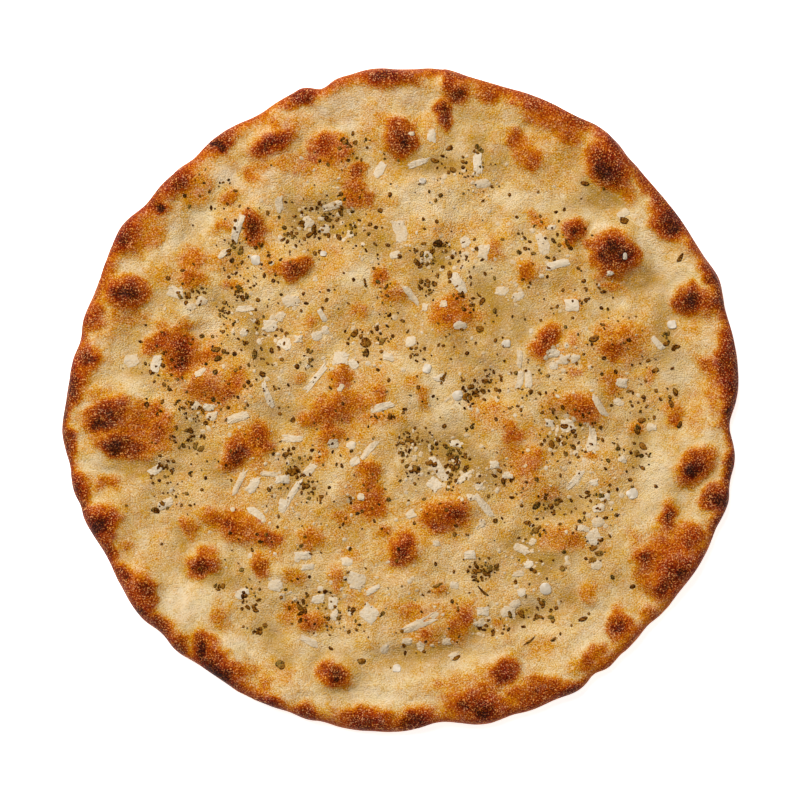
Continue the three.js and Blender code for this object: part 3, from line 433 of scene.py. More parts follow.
# Drifts of cheese crumbs: x, y, length, width, turn in degrees, how many
CRUMB_DRIFTS = (
    (-31, 80, 34, 18, 0, 30), (20, 62, 30, 20, 0, 30), (16, -28, 32, 26, 0, 48), (73, -20, 30, 24, 0, 54),
    (-60, 32, 30, 20, 0, 18), (-22, 22, 30, 20, 0, 18), (34, -38, 26, 18, 0, 20), (56, -72, 24, 30, 0, 24),
    (30, -101, 46, 16, 10, 24), (-33, -89, 40, 24, 0, 36), (90, -42, 24, 30, 0, 24),
    (30, 94, 30, 20, 0, 24), (-95, 44, 24, 12, 0, 10), (72, 18, 22, 16, 0, 18), (86, -57, 18, 16, 0, 14),
    (47, 48, 18, 10, 0, 12), (-55, -40, 30, 30, 0, 24), (-85, -4, 26, 18, 0, 16), (0, 0, 180, 180, 0, 252),
    (0, 0, 235, 235, 0, 252),
)

# Coarse salt crystals: x, y, length, width, turn in degrees
SALT_CRYSTALS = (
    (64.5, -83.5, 5.4, 5.2, 0), (103, -41.5, 4.8, 4.4, 30), (120.5, 33.5, 4.4, 4, 10), (47, 25, 4, 3.6, 0),
    (25.5, 2, 4.8, 4.4, 20), (12, 14, 4.2, 3.6, 70), (10, 97, 3, 2.8, 0), (-64, 62, 4.4, 4.2, 0),
    (-34, 65, 3, 2.8, 0), (-1.5, -119, 4, 3.5, 0), (99.5, 63.5, 3, 2, 80), (93, 56, 2.4, 2, 30),
)

# Drifts of dried herb: x, y, length, width, turn in degrees, how many large leaves, how many specks
HERB_DRIFTS = (
    (-33, 79, 30, 16, 0, 6, 28), (14, -24, 26, 22, 0, 7, 12), (35, 7, 8, 18, -42, 4, 12),
    (-43, -37, 6, 20, 38, 4, 26), (16, 62, 22, 16, 0, 4, 18), (-74, 67, 9, 7, 0, 2, 12),
    (-71, 49, 8, 8, 0, 1, 6), (-15, 27, 20, 14, 0, 3, 10), (30, 44, 14, 12, 0, 3, 10),
    (71, -17, 14, 14, 0, 4, 2), (65, -46, 14, 10, 0, 3, 8), (104, -11, 9, 8, 0, 3, 0),
    (105, -23, 8, 10, 0, 2, 0), (121, 10, 10, 30, 0, 3, 0), (38, -76, 15, 6, 25, 3, 32),
    (60, -93, 34, 7, 17, 4, 8), (-47, -92, 12, 9, 0, 3, 2), (-65, -95, 10, 8, 0, 2, 0),
    (-92, -12, 9, 26, 12, 3, 16), (-81, 20, 8, 6, 0, 2, 2), (-104, -47, 10, 10, 0, 2, 2),
    (-61, 14, 6, 22, 12, 2, 4), (46, -35, 10, 8, 0, 2, 4), (86, -66, 10, 12, 0, 2, 0),
    (20, 106, 20, 12, 0, 3, 0), (-20, 115, 14, 4, 0, 1, 9),
)

# Drifts of herb specks alone: x, y, length, width, turn in degrees, how many
SPECK_DRIFTS = (
    (-32, 78, 52, 28, -8, 50), (22, 58, 20, 26, 28, 26), (-8, 40, 10, 46, 0, 25), (-85, 92, 24, 26, 0, 20),
    (-60, 62, 42, 24, 10, 30), (-66, 22, 36, 46, 0, 50), (-104, 8, 22, 34, 0, 30),
    (-95, -22, 16, 44, 8, 16), (-102, -37, 18, 22, 0, 20), (-46, -34, 20, 32, 38, 25),
    (-65, -94, 12, 26, 0, 20), (-33, -95, 34, 22, 0, 42), (14, -26, 36, 34, 0, 22),
    (36, 8, 16, 30, -40, 25), (56, 4, 26, 22, 0, 20), (72, -17, 28, 30, 0, 28), (68, -50, 30, 26, 0, 34),
    (87, -42, 16, 66, 0, 45), (104, -16, 20, 34, 0, 20), (112, 10, 20, 30, 0, 20),
    (66, 68, 26, 40, 30, 24), (78, 48, 14, 24, 0, 10), (54, -97, 40, 12, 15, 28),
    (36, -74, 14, 10, 25, 12), (32, 103, 30, 10, 0, 14), (-22, 110, 34, 18, 0, 18), (-4, -6, 18, 4, 8, 15),
    (46, -35, 24, 20, 0, 8), (0, 0, 225, 225, 0, 600), (0, 0, 262, 262, 0, 88), (3, -20, 9, 12, 0, 34),
    (12, -19, 16, 5, -5, 10), (25, -24, 9, 8, 0, 25), (23, -31, 6, 12, 10, 22), (6, -33, 10, 10, 0, 14),
    (-93, 45, 14, 8, 0, 15), (12, 50, 8, 8, 0, 24), (-86, -4, 24, 14, 0, 16), (34.5, 111, 4, 4, 0, 14),
    (-78, 40, 8, 6, 0, 13), (-70, 47, 7, 6, 0, 14), (-104, -30, 8, 9, 0, 20), (84, -45, 10, 10, 0, 6),
    (-89, -5, 12, 10, 0, 15), (-80, -83, 4, 5, 0, 10), (67, 70, 8, 12, 0, 4), (29, -36, 14, 14, 0, 8),
    (8, 22, 8, 10, 0, 12), (20, 10, 4, 4, 0, 10), (118, 28, 4, 5, 0, 10), (-63, -103, 4, 4, 0, 9),
    (-48, 72, 10, 6, 0, 7), (-74, 42, 10, 6, 0, 2), (-40, 16, 6, 6, 0, 10), (86, -48, 8, 6, 0, 4),
    (-50, -23, 5, 4, 0, 11), (22, -38, 10, 6, 0, 8),
)

# Single larger leaves and stalks that lie by themselves: x, y, length, width, turn in degrees
LONE_LEAVES = (
    (118, 25, 3.6, 2.2, 40), (86, 27, 4.6, 2.8, 20), (124, -11, 3.4, 2.2, 70), (35, 31.5, 4, 2.8, 0),
    (60, -58, 3.6, 2.4, 30), (88, -68, 4, 2.6, 0), (103, -82.5, 3.2, 2, 20), (81, -97, 4.2, 1.6, 20),
    (57, -107, 6.2, 1, 35), (68, -106, 3.4, 1.4, 20), (-17, -115.5, 4.2, 2.4, 10),
    (25, -114.5, 4.2, 1.8, 30), (-53, -117, 4.6, 4.2, 0), (-15, 25, 5, 3, 20), (-20, 29.5, 4.2, 2.5, 40),
    (99, 79.5, 4.6, 3.4, -10), (82, 96, 3.8, 2, -10), (124, 63, 4.6, 1.7, 55), (16.5, -82, 5.4, 1.2, 22),
    (36.5, -84.5, 6.6, 1.2, -45), (90, 48, 3.4, 1.5, 15), (74, 69.5, 4.4, 1.5, -60),
)

# One dark round seed among the leaves: x, y, length, width, turn in degrees
SEED = (16.8, 69.5, 4.2, 3.6, 20)

# How each kind of chip is cut and stands out of the bread
Cut = namedtuple("Cut", "stand corners knots squareness raggedness tilt crown edge_rise edge_tone")
SHRED = Cut(0.3, 40, 14, 3.4, 0.22, 0.02, 0.9, 0.6, 0.8)
FLAKE = Cut(0.3, 30, 8, 2.8, 0.32, 0.03, 0.9, 0.6, 0.8)
CRUMB = Cut(0.25, 7, 5, 2.2, 0.36, 0.08, 0.6, 0.4, 0.5)
LEAF = Cut(0.6, 12, 6, 2.0, 0.26, 0.12, 0.66, 0.35, 0.5)
SPECK = Cut(0.5, 7, 5, 2.0, 0.3, 0.15, 0.6, 0.35, 0.5)
CRYSTAL = Cut(0.6, 16, 8, 2.4, 0.14, 0.05, 0.86, 0.5, 2.0)
CHIP_SINK = 0.5
FINE_RAGGEDNESS = 0.4
UNEVEN_LIFT = (0.6, 1.4)
UNEVEN_MIDDLE = (0.85, 1.15)
SHRED_BEND = 0.06
LEAF_BEND = 0.1
HARD_EDGE_DEG = 40

# Tones of the chips that are placed one by one, from dark to light
SHRED_TONES = (0.55, 0.9)
FLAKE_TONES = (0.45, 0.9)
LEAF_TONES = (0.25, 0.7)
SEED_TONE = 0.0
SALT_TONE = 0.45

# Strewn chips: the smallest, how much larger they get, how rare large ones are, width to length, tones
Strewn = namedtuple("Strewn", "cut smallest larger rarity slimness tones")
CRUMBS = Strewn(CRUMB, 0.8, 1.9, 2, (0.6, 1), (0.1, 0.7))
SPECKS = Strewn(SPECK, 0.8, 1.7, 1.5, (0.5, 0.95), (0.1, 0.65))
CRUMB_MELTS = 0.38
CHEESE_SEED = 61
HERB_SEED = 62
SALT_SEED = 63

# The large leaves, drawn as they are for the solid
LEAF_LENGTH_MIN = 2.6
LEAF_LENGTH_MAX = 4.2
LEAF_SLIMNESS = 0.62
LEAF_SEED = 20417
DRAW_FACTOR = 1664525
DRAW_STEP = 1013904223
DRAW_RANGE = 2 ** 32

# Sizes of the lumps in the materials' patterns
CRUST_MOTTLE = 5.0
CRUST_GRAIN = 0.625
CRUST_GLINT = 0.66667
CRUST_TINT = 4.5454
CHEESE_GRAIN = 1.1111
HERB_CRINKLE = 0.76923
HERB_PATCH = 5.0
SALT_CLOUD = 1.2048

# The stage
FLOOR_WIDTH = 6000.0
FLOOR_GAP = 0.1
SKY_STRENGTH = 0.24
KEY_PLACE = (-1200.0, 1900.0, 2700.0)
KEY_WIDTH = 2600.0
KEY_WATTS = 164.5
LENS = 200.0
SENSOR = 36.0
RIM_HEIGHT = 5.0


def linear(hex_colour):
    """Linear red, green, blue and alpha of an sRGB hex colour."""
    shares = [int(hex_colour[i:i + 2], 16) / 255 for i in (1, 3, 5)]
    return [s / 12.92 if s <= 0.04045 else ((s + 0.055) / 1.055) ** 2.4 for s in shares] + [1.0]


def length_setting(name, description, millimetres):
    return bpy.props.FloatProperty(
        name=name, description=description, default=millimetres * MM, min=0.0, unit="LENGTH", precision=5)


def colour_setting(name, description, hex_colour):
    return bpy.props.FloatVectorProperty(
        name=name, description=description, default=linear(hex_colour), size=4, min=0.0, max=1.0,
        subtype="COLOR")


class BreadSettings(bpy.types.PropertyGroup):
    crumb_thickness: length_setting("Crumb thickness", "Thickness of the bread away from its blisters", 7.6)
    rim_swell: length_setting("Rim swell", "How far the rim's crest rises over the middle", 1.7)
    edge_roll: length_setting("Edge roll", "How far the rounded edge reaches out past the face", 4.5)
    pale: colour_setting("Pale crust", "Crust that the oven has barely touched", "#e9d1a5")
    cream: colour_setting("Cream crust", "Crust just starting to colour", "#debd86")
    straw: colour_setting("Straw crust", "Lightly toasted crust", "#d3a45b")
    golden: colour_setting("Golden crust", "Halo round each blister", "#cb8a35")
    amber: colour_setting("Amber crust", "Lightly browned crust", "#b56318")
    brown: colour_setting("Brown crust", "Well browned crust", "#9a420d")
    dark: colour_setting("Dark crust", "Tops of the dark blisters", "#702602")
    char: colour_setting("Charred crust", "Scorched cores of the blisters", "#521b04")
    soot: colour_setting("Sooty crust", "Blackest specks of the scorched cores", "#2c130b")
    # Oil and painted shade: the darkening of pale crust where oil gathers, in valleys, in dimples and at the
    # foot of blisters
    oiled_and_shaded: colour_setting("Oiled crust", "Pale crust where oil gathers in the dimples", "#b08846")
    # Painted highlights: grains that glint, mixed into the crust's colour; the pale ones are partly real
    # flecks of flour and cheese
    glint: colour_setting("Pale glint", "Grains of flour and fine cheese that catch the light", "#f2e0c0")
    painted_ember_glint: colour_setting("Ember glint", "Oily grains that catch the light on browned crust", "#e1a268")
    painted_ash_glint: colour_setting("Ash glint", "Dull grains that catch the light on charred crust", "#905633")


class CheeseSettings(bpy.types.PropertyGroup):
    light: colour_setting("Light cheese", "Dry outside of a shred", "#d5c2a5")
    deep: colour_setting("Deep cheese", "Softened cheese that the crust shows through", "#c9a97a")


class HerbSettings(bpy.types.PropertyGroup):
    # Leaf colours: the edge colour in the folds and the dusty colour on the ridges are partly painted shade
    # and painted highlight
    edge: colour_setting("Leaf edge", "Dark curled edge of a dried leaf", "#341601")
    blade: colour_setting("Leaf blade", "Brown middle of a dried leaf", "#7b4709")
    olive: colour_setting("Olive", "Leaf that has kept some green", "#614b1b")
    dusty_tan_and_highlight: colour_setting("Dusty leaf", "Dusty tan back of a dried leaf", "#97651a")


class SaltSettings(bpy.types.PropertyGroup):
    crystal: colour_setting("Cloudy salt", "Broken edges of a crystal", "#d6c9b6")
    clear: colour_setting("Clear salt", "Middle of a crystal, where the crust shows through", "#bda98a")


class StageSettings(bpy.types.PropertyGroup):
    floor: colour_setting("Floor", "Plain pale floor", "#f7f7f7")
    frame_width: length_setting("Frame width", "Width that the camera takes in at the bread's edge", 355.0)


# Shape of the bread


def smooth(share):
    """Soft step from 0 to 1."""
    share = np.clip(share, 0, 1)
    return share * share * (3 - 2 * share)


def cloud(x, y, layers):
    """Smooth seeded noise, the sum of its layers."""
    total = np.zeros_like(x)
    for strength, lump, seed in layers:
        cells = int(NOISE_SPAN / lump) + NOISE_MARGIN
        lattice = np.random.RandomState(seed).uniform(-1, 1, (cells + 1, cells + 1))
        u = np.clip(x / lump + cells / 2, 0, cells - 0.001)
        v = np.clip(y / lump + cells / 2, 0, cells - 0.001)
        i = u.astype(int)
        j = v.astype(int)
        s = smooth(u - i)
        t = smooth(v - j)
        near = lattice[i, j] * (1 - s) + lattice[i + 1, j] * s
        far = lattice[i, j + 1] * (1 - s) + lattice[i + 1, j + 1] * s
        total = total + strength * (near * (1 - t) + far * t)
    return total


def outline_radius(angle):
    """The rim's distance from the origin in each direction."""
    radius = MEAN_RADIUS + OFF_CENTRE_X * np.cos(angle) + OFF_CENTRE_Y * np.sin(angle)
    for at, push, spread in SCALLOPS:
        turn = angle - math.radians(at)
        away = np.degrees(np.arctan2(np.sin(turn), np.cos(turn)))
        radius = radius + push * np.exp(-(away / spread) ** 2)
    return radius


def inset_from_edge(x, y):
    return outline_radius(np.arctan2(y, x)) - np.hypot(x, y)


def oval_reach(x, y, row):
    """Distance from an oval's middle, 1 at its edge."""
    at_x, at_y, length, width, turn = row[:5]
    cos = math.cos(math.radians(turn))
    sin = math.sin(math.radians(turn))
    along = ((x - at_x) * cos + (y - at_y) * sin) / (length / 2)
    across = ((y - at_y) * cos - (x - at_x) * sin) / (width / 2)
    return np.hypot(along, across)


def mound(x, y, row):
    """A flat-topped mound over an oval: 1 in its middle and half that at its edge."""
    return 1 / (1 + oval_reach(x, y, row) ** MOUND_POWER)


def mounds(x, y, rows):
    """Sum of the mounds over a table's ovals, each as strong as its row says last."""
    return sum(row[5] * mound(x, y, row) for row in rows)


def face_height(x, y, settings):
    """Height of the baked face over the underside, before its fine relief."""
    crest = np.exp(-((inset_from_edge(x, y) - RIM_CREST_INSET) / RIM_SPREAD) ** 2)
    height = settings.crumb_thickness / MM + settings.rim_swell / MM * crest
    for k in range(WAVE_COUNT):
        heading = math.radians(k * WAVE_TURN_DEG)
        travel = x * math.cos(heading) + y * math.sin(heading)
        length = WAVE_LENGTH * WAVE_SHRINK ** k
        height = height + WAVE_HEIGHT * np.sin(2 * np.pi * travel / length + k * WAVE_PHASE)
    return height + mounds(x, y, RIM_BLISTERS + FIELD_BLISTERS) - mounds(x, y, DIMPLES)


def face_relief(x, y, settings):
    """Height of the face with its lumps, the bubbles that have browned and the hollows where oil and painted
    shade pool.
    """
    bubbles = BUBBLE_RISE * smooth(browning(x, y) / BUBBLE_BROWNING)
    hollows = HOLLOW_DEPTH * np.clip(oil_and_painted_shade(x, y), 0, 1)
    return face_height(x, y, settings) + cloud(x, y, FACE_LUMPS) + bubbles - hollows


def browning(x, y):
    """How far the oven has browned each point of the face: 0 pale, 0.3 golden, 0.6 brown, 1 charred."""
    stray_x = x + cloud(x, y, STRAY_X)
    stray_y = y + cloud(x, y, STRAY_Y)
    bare = BARE_CRUST + cloud(x, y, UNEVEN_CRUST) - PALE_DROP * mounds(stray_x, stray_y, PALE_MARKS)
    total = np.clip(bare, 0, 1) ** DARKEST_WINS
    for row in GOLDEN_MARKS:
        total = total + (row[5] * mound(stray_x, stray_y, row)) ** DARKEST_WINS
    for row in BROWN_MARKS:
        reach = oval_reach(stray_x, stray_y, row)
        half = min(row[2], row[3]) / 2
        inside = (1 - reach) * half
        edge = smooth(inside / min(MARK_EDGE, MARK_EDGE_SHARE * half) + 0.5)
        core = 1 / (1 + (reach / MARK_CORE) ** MOUND_POWER)
        mark = row[5] * ((1 - CORE_WEIGHT) * edge + CORE_WEIGHT * core)
        halo = HALO * min(1, row[5] / HALO_FULL_FROM) * smooth(inside / HALO_WIDTH + HALO_OVERLAP)
        total = total + mark ** DARKEST_WINS + halo ** DARKEST_WINS
    angle = np.degrees(np.arctan2(y, x))
    toast = RIM_BROWNING + cloud(x, y, UNEVEN_RIM)
    for at, more, spread in RIM_TOAST:
        away = (angle - at + 180) % 360 - 180
        toast = toast + more * np.exp(-(away / spread) ** 2)
    inset = np.clip(inset_from_edge(stray_x, stray_y), 0, None)
    band = RIM_BAND + cloud(x, y, UNEVEN_BAND)
    total = total + (toast * np.exp(-(inset / band) ** 2)) ** DARKEST_WINS
    return total ** (1 / DARKEST_WINS)


def oil_and_painted_shade(x, y):
    """How much oil and herb dust has gathered, with painted shade in the valleys between lumps, in dimples
    and at the foot of blisters; below 0 the crust has dried out.
    """
    inside = smooth((inset_from_edge(x, y) + OIL_PAST_EDGE) / OIL_RISES_OVER)
    pooled = OIL_INSIDE * inside - DRY_CRUST - cloud(x, y, SHADE_AND_OIL_IN_VALLEYS) + mounds(x, y, OIL_AND_SHADE_POOLS)
    for row in RIM_BLISTERS + FIELD_BLISTERS:
        foot = (oval_reach(x, y, row) - FOOT_REACH) * (row[2] + row[3]) / 4
        pooled = pooled + SHADE_AND_OIL_AT_FOOT * row[5] * np.exp(-(foot / FOOT_WIDTH) ** 2)
    pooled = pooled + SHADE_AND_OIL_IN_DIMPLE * mounds(x, y, DIMPLES)
    pooled = pooled + OIL_IN_DRIFT * sum(mound(x, y, row) for row in HERB_DRIFTS)
    return np.clip(pooled, *OIL_AND_SHADE_RANGE)


# Meshes


def mesh_points(mesh):
    flat = np.empty(len(mesh.vertices) * 3, np.float32)
    mesh.vertices.foreach_get("co", flat)
    return flat.reshape(-1, 3).astype(float) / MM


def place_points(mesh, points):
    mesh.vertices.foreach_set("co", (points * MM).astype(np.float32).ravel())
    mesh.update()


def store_values(mesh, name, values):
    attribute = mesh.attributes.new(name, "FLOAT", "POINT")
    attribute.data.foreach_set("value", np.asarray(values, np.float32))


def add_fine_disc(name, cuts):
    """Add a six-sided fan and cut it finely, so each ring has six more points than the one inside it."""
    bpy.ops.object.select_all(action="DESELECT")
    bpy.ops.mesh.primitive_circle_add(vertices=SPOKES, radius=MM, fill_type="TRIFAN")
    disc = bpy.context.object
    disc.name = name
    disc.data.name = name
    bpy.ops.object.mode_set(mode="EDIT")
    bpy.ops.mesh.select_all(action="SELECT")
    for count in cuts:
        bpy.ops.mesh.subdivide(number_cuts=count)
    bpy.ops.object.mode_set(mode="OBJECT")
    return disc


def spread_disc(mesh, settings):
    """Share of the way out and place of each point, the six-sided rings spread to the bread's outline."""
    points = mesh_points(mesh)
    sixth = 2 * np.pi / SPOKES
    seen = np.arctan2(points[:, 1], points[:, 0]) - np.pi / 2
    sector = np.floor(seen / sixth + SPOKE_NUDGE)
    lean = seen - (sector + 0.5) * sixth
    share = np.hypot(points[:, 0], points[:, 1]) * np.cos(lean) / math.cos(sixth / 2)
    along = 0.5 + np.tan(lean) / (2 * math.tan(sixth / 2))
    angle = (sector + along) * sixth + np.pi / 2
    reach = share * (outline_radius(angle) - settings.edge_roll / MM)
    return share, reach * np.cos(angle), reach * np.sin(angle)


def select_open_edges():
    bpy.ops.mesh.select_mode(type="EDGE")
    bpy.ops.mesh.select_all(action="DESELECT")
    bpy.ops.mesh.select_non_manifold(
        extend=False, use_wire=False, use_boundary=True, use_multi_face=False, use_non_contiguous=False,
        use_verts=False)


def finish_faces():
    """Make all faces triangles that point outwards, and leave edit mode."""
    bpy.ops.mesh.select_all(action="SELECT")
    bpy.ops.mesh.quads_convert_to_tris()
    bpy.ops.mesh.normals_make_consistent(inside=False)
    bpy.ops.object.mode_set(mode="OBJECT")


def shoulder_of_wall(x, y, settings):
    """Direction of each point, and the reach and height of the face there where its edge starts to roll."""
    angle = np.arctan2(y, x)
    shoulder = outline_radius(angle) - settings.edge_roll / MM
    return angle, shoulder, face_relief(shoulder * np.cos(angle), shoulder * np.sin(angle), settings)


def roll_edge(bread, settings):
    """Carry the face over the rim and under it, one ring of extruded edges at a time."""
    bpy.ops.object.mode_set(mode="EDIT")
    select_open_edges()
    for turn_deg in EDGE_TURNS_DEG:
        bpy.ops.mesh.extrude_edges_indiv()
        bpy.ops.object.mode_set(mode="OBJECT")
        points = mesh_points(bread.data)
        chosen = np.empty(len(points), bool)
        bread.data.vertices.foreach_get("select", chosen)
        angle, shoulder, top = shoulder_of_wall(points[chosen, 0], points[chosen, 1], settings)
        turn = math.radians(turn_deg)
        height = top * (1 + math.sin(turn)) / 2
        bulge = cloud(angle * MEAN_RADIUS / BULGE_LENGTHEN, height * BULGE_FLATTEN, WALL_BULGES)
        reach = shoulder + (settings.edge_roll / MM + bulge) * math.cos(turn)
        points[chosen] = np.column_stack((reach * np.cos(angle), reach * np.sin(angle), height))
        place_points(bread.data, points)
        bpy.ops.object.mode_set(mode="EDIT")
    bpy.ops.object.mode_set(mode="OBJECT")


def browning_left(x, y, z, settings):
    """Share of the browning that is left: all on the face, less on the wall towards the oven floor."""
    reach = outline_radius(np.arctan2(y, x)) - settings.edge_roll / MM
    wall = (np.hypot(x, y) > reach + WALL_MARGIN) | (z < WALL_MARGIN)
    _, _, top = shoulder_of_wall(x[wall], y[wall], settings)
    share = np.ones_like(x)
    share[wall] = 1 - WALL_PALING * smooth((WALL_PALES_BELOW - z[wall] / top) / WALL_PALES_OVER)
    return share


def add_underside(settings):
    """The side that lay on the oven floor: flat, a little pitted, its edge cut as finely as the rim."""
    underside = add_fine_disc("underside", UNDERSIDE_CUTS)
    bpy.ops.object.mode_set(mode="EDIT")
    select_open_edges()
    bpy.ops.mesh.subdivide(number_cuts=1)
    bpy.ops.object.mode_set(mode="OBJECT")
    mesh = underside.data
    share, x, y = spread_disc(mesh, settings)
    pits = PIT_DEPTH * smooth(cloud(x, y, UNDERSIDE_PITS) - PIT_LEVEL) * smooth((1 - share) * PIT_FADE)
    place_points(mesh, np.column_stack((x, y, pits)))
    spots = UNDERSIDE_BROWNING + cloud(x, y, UNDERSIDE_SPOTS)
    store_values(mesh, "browning", np.clip(spots, *UNDERSIDE_RANGE))
    store_values(mesh, "oil_and_shade", np.full(len(x), UNDERSIDE_OIL))
    return underside


def shape_bread(settings):
    """The baked face, rolled over at its edge and closed by the underside."""
    bread = add_fine_disc("bread", FACE_CUTS)
    _, x, y = spread_disc(bread.data, settings)
    place_points(bread.data, np.column_stack((x, y, face_relief(x, y, settings))))
    roll_edge(bread, settings)
    x, y, z = mesh_points(bread.data).T
    store_values(bread.data, "browning", browning(x, y) * browning_left(x, y, z, settings))
    # Stored for the crust's material: oil together with the painted shade of valleys, dimples and blister
    # feet
    store_values(bread.data, "oil_and_shade", oil_and_painted_shade(x, y))
    underside = add_underside(settings)
    bread.select_set(True)
    underside.select_set(True)
    bpy.context.view_layer.objects.active = bread
    bpy.ops.object.join()
    bpy.ops.object.mode_set(mode="EDIT")
    select_open_edges()
    bpy.ops.mesh.remove_doubles(threshold=SEAM_GAP * MM)
    select_open_edges()
    if bread.data.total_edge_sel:
        raise RuntimeError("the underside does not close the bread")
    finish_faces()
    bpy.ops.object.shade_smooth()
    return bread


# Chips of cheese, herb and salt


def turned_place(row, along, across):
    """Place that far along and across a row's own directions from its middle."""
    cos = math.cos(math.radians(row[4]))
    sin = math.sin(math.radians(row[4]))
    return row[0] + along * cos - across * sin, row[1] + along * sin + across * cos


def place_in_oval(row, reach, angle):
    """Place in an oval at that share of its length and width from its middle."""
    return turned_place(row, row[2] * reach * math.cos(angle), row[3] * reach * math.sin(angle))


def drift_places(drift, count, draw):
    """Seeded places spread evenly over an oval drift."""
    places = []
    for _ in range(count):
        reach = math.sqrt(draw.uniform()) / 2
        places.append(place_in_oval(drift, reach, draw.uniform(0, 2 * math.pi)))
    return places


def large_leaves():
    """The large leaves of each drift, drawn in the same order as those in the solid."""
    state = LEAF_SEED
    leaves = []

    def draw():
        nonlocal state
        state = (state * DRAW_FACTOR + DRAW_STEP) % DRAW_RANGE
        return state / DRAW_RANGE

    for drift in HERB_DRIFTS:
        count = drift[5]
        for i in range(count):
            reach = math.sqrt((i + draw()) / count) / 2
            place = place_in_oval(drift, reach, 2 * math.pi * draw())
            length = LEAF_LENGTH_MIN + (LEAF_LENGTH_MAX - LEAF_LENGTH_MIN) * draw()
            leaves.append(place + (length, length * LEAF_SLIMNESS, 360 * draw()))
    return leaves


class Pile:
    """Points, faces and tones of many small chips that become one mesh lying on the bread.

    No two chips have the same outline, so they are built point by point and not copied from one primitive.
    """

    def __init__(self):
        self.points = []
        self.faces = []
        self.tones = []

    def add_chip(self, row, cut, tone, draw, bend=0.0):
        """One uneven chip: a ring set into the bread, one at its edge, a smaller one on top and a middle."""
        length, width = row[2:4]
        corners = cut.corners
        ring = (np.arange(corners) + draw.uniform()) * 2 * np.pi / corners
        knots_at = np.arange(cut.knots) * 2 * np.pi / cut.knots
        knots = np.interp(ring, knots_at, draw.uniform(-1, 1, cut.knots), period=2 * np.pi)
        ragged = 1 + cut.raggedness * (knots + FINE_RAGGEDNESS * draw.uniform(-1, 1, corners))
        power = 2 / cut.squareness
        along = length / 2 * np.sign(np.cos(ring)) * np.abs(np.cos(ring)) ** power * ragged
        across = width / 2 * np.sign(np.sin(ring)) * np.abs(np.sin(ring)) ** power * ragged
        lean = cut.tilt * draw.uniform(-1, 1, 2)
        lifts = draw.uniform(*UNEVEN_LIFT, corners) * cut.stand
        levels = (
            (1.0, np.full(corners, -CHIP_SINK), cut.edge_tone * tone),
            (1.0, cut.edge_rise * lifts, cut.edge_tone * tone),
            (cut.crown, lifts, tone))
        start = len(self.points)

        def put(out, aside, lift, tone):
            aside = aside + bend * (out ** 2 / (length / 2) - length / 4)
            rise = lift + lean[0] * out + lean[1] * aside
            self.points.append(turned_place(row, out, aside) + (rise,))
            self.tones.append(tone)

        for share, rises, ring_tone in levels:
            for out, aside, rise in zip(along * share, across * share, rises):
                put(out, aside, rise, ring_tone)
        put(0.0, 0.0, cut.stand * draw.uniform(*UNEVEN_MIDDLE), tone)
        top = start + 2 * corners
        middle = top + corners
        self.faces.append([start + k for k in reversed(range(corners))])
        for k in range(corners):
            after = (k + 1) % corners
            for low in (start, start + corners):
                self.faces.append((low + k, low + after, low + corners + after, low + corners + k))
            self.faces.append((top + k, top + after, middle))

    def strew(self, kind, places, draw):
        """A small chip of its own size, turn and tone at each place."""
        for place in places:
            size = kind.smallest + kind.larger * draw.uniform() ** kind.rarity
            row = tuple(place) + (size, size * draw.uniform(*kind.slimness), draw.uniform(0, 180))
            self.add_chip(row, kind.cut, draw.uniform(*kind.tones), draw)

    def lay_on_bread(self, name, settings):
        """Make one mesh of the pile, each point lifted by the bread under it."""
        points = np.array(self.points)
        points[:, 2] += face_relief(points[:, 0], points[:, 1], settings)
        mesh = bpy.data.meshes.new(name)
        mesh.from_pydata((points * MM).tolist(), [], self.faces)
        store_values(mesh, "tone", self.tones)
        piece = bpy.data.objects.new(name, mesh)
        bpy.context.scene.collection.objects.link(piece)
        bpy.ops.object.select_all(action="DESELECT")
        piece.select_set(True)
        bpy.context.view_layer.objects.active = piece
        bpy.ops.object.mode_set(mode="EDIT")
        finish_faces()
        bpy.ops.object.shade_smooth_by_angle(angle=math.radians(HARD_EDGE_DEG))
        return piece


# Materials


def add_node(tree, kind, sockets=None, stops=(), **settings):
    """Add one shader node, set its settings, sockets and colour stops, and link what is a node or output."""
    made = tree.nodes.new("ShaderNode" + kind)
    for key, value in settings.items():
        setattr(made, key, value)
    for key, value in (sockets or {}).items():
        if isinstance(value, bpy.types.Node):
            value = next(output for output in value.outputs if output.enabled)
        if isinstance(value, bpy.types.NodeSocket):
            tree.links.new(value, made.inputs[key])
        else:
            made.inputs[key].default_value = value
    for index, (position, colour) in enumerate(stops):
        if index >= len(made.color_ramp.elements):
            made.color_ramp.elements.new(position)
        made.color_ramp.elements[index].position = position
        made.color_ramp.elements[index].color = colour
    return made


def new_material(name):
    material = bpy.data.materials.new(name)
    material.use_nodes = True
    material.node_tree.nodes.clear()
    return material, material.node_tree


def read_piece(tree, *names):
    """The place on the piece and the values stored at its points, for a material to follow."""
    place = add_node(tree, "TexCoord").outputs["Object"]
    return [place] + [add_node(tree, "Attribute", attribute_name=name).outputs["Fac"] for name in names]


def pattern_scale(lump):
    """Scale of a pattern whose lumps are that many millimetres across."""
    return 1 / (lump * MM)


def unsettle(tree, value, pattern, weight):
    """A value that a pattern raises and lowers by up to half of the weight."""
    swing = add_node(tree, "Math", {0: pattern, 1: 0.5}, operation="SUBTRACT")
    return add_node(tree, "Math", {0: swing, 1: weight, 2: value}, operation="MULTIPLY_ADD")


def finish_material(tree, sockets):
    shader = add_node(tree, "BsdfPrincipled", sockets)
    add_node(tree, "OutputMaterial", {"Surface": shader})


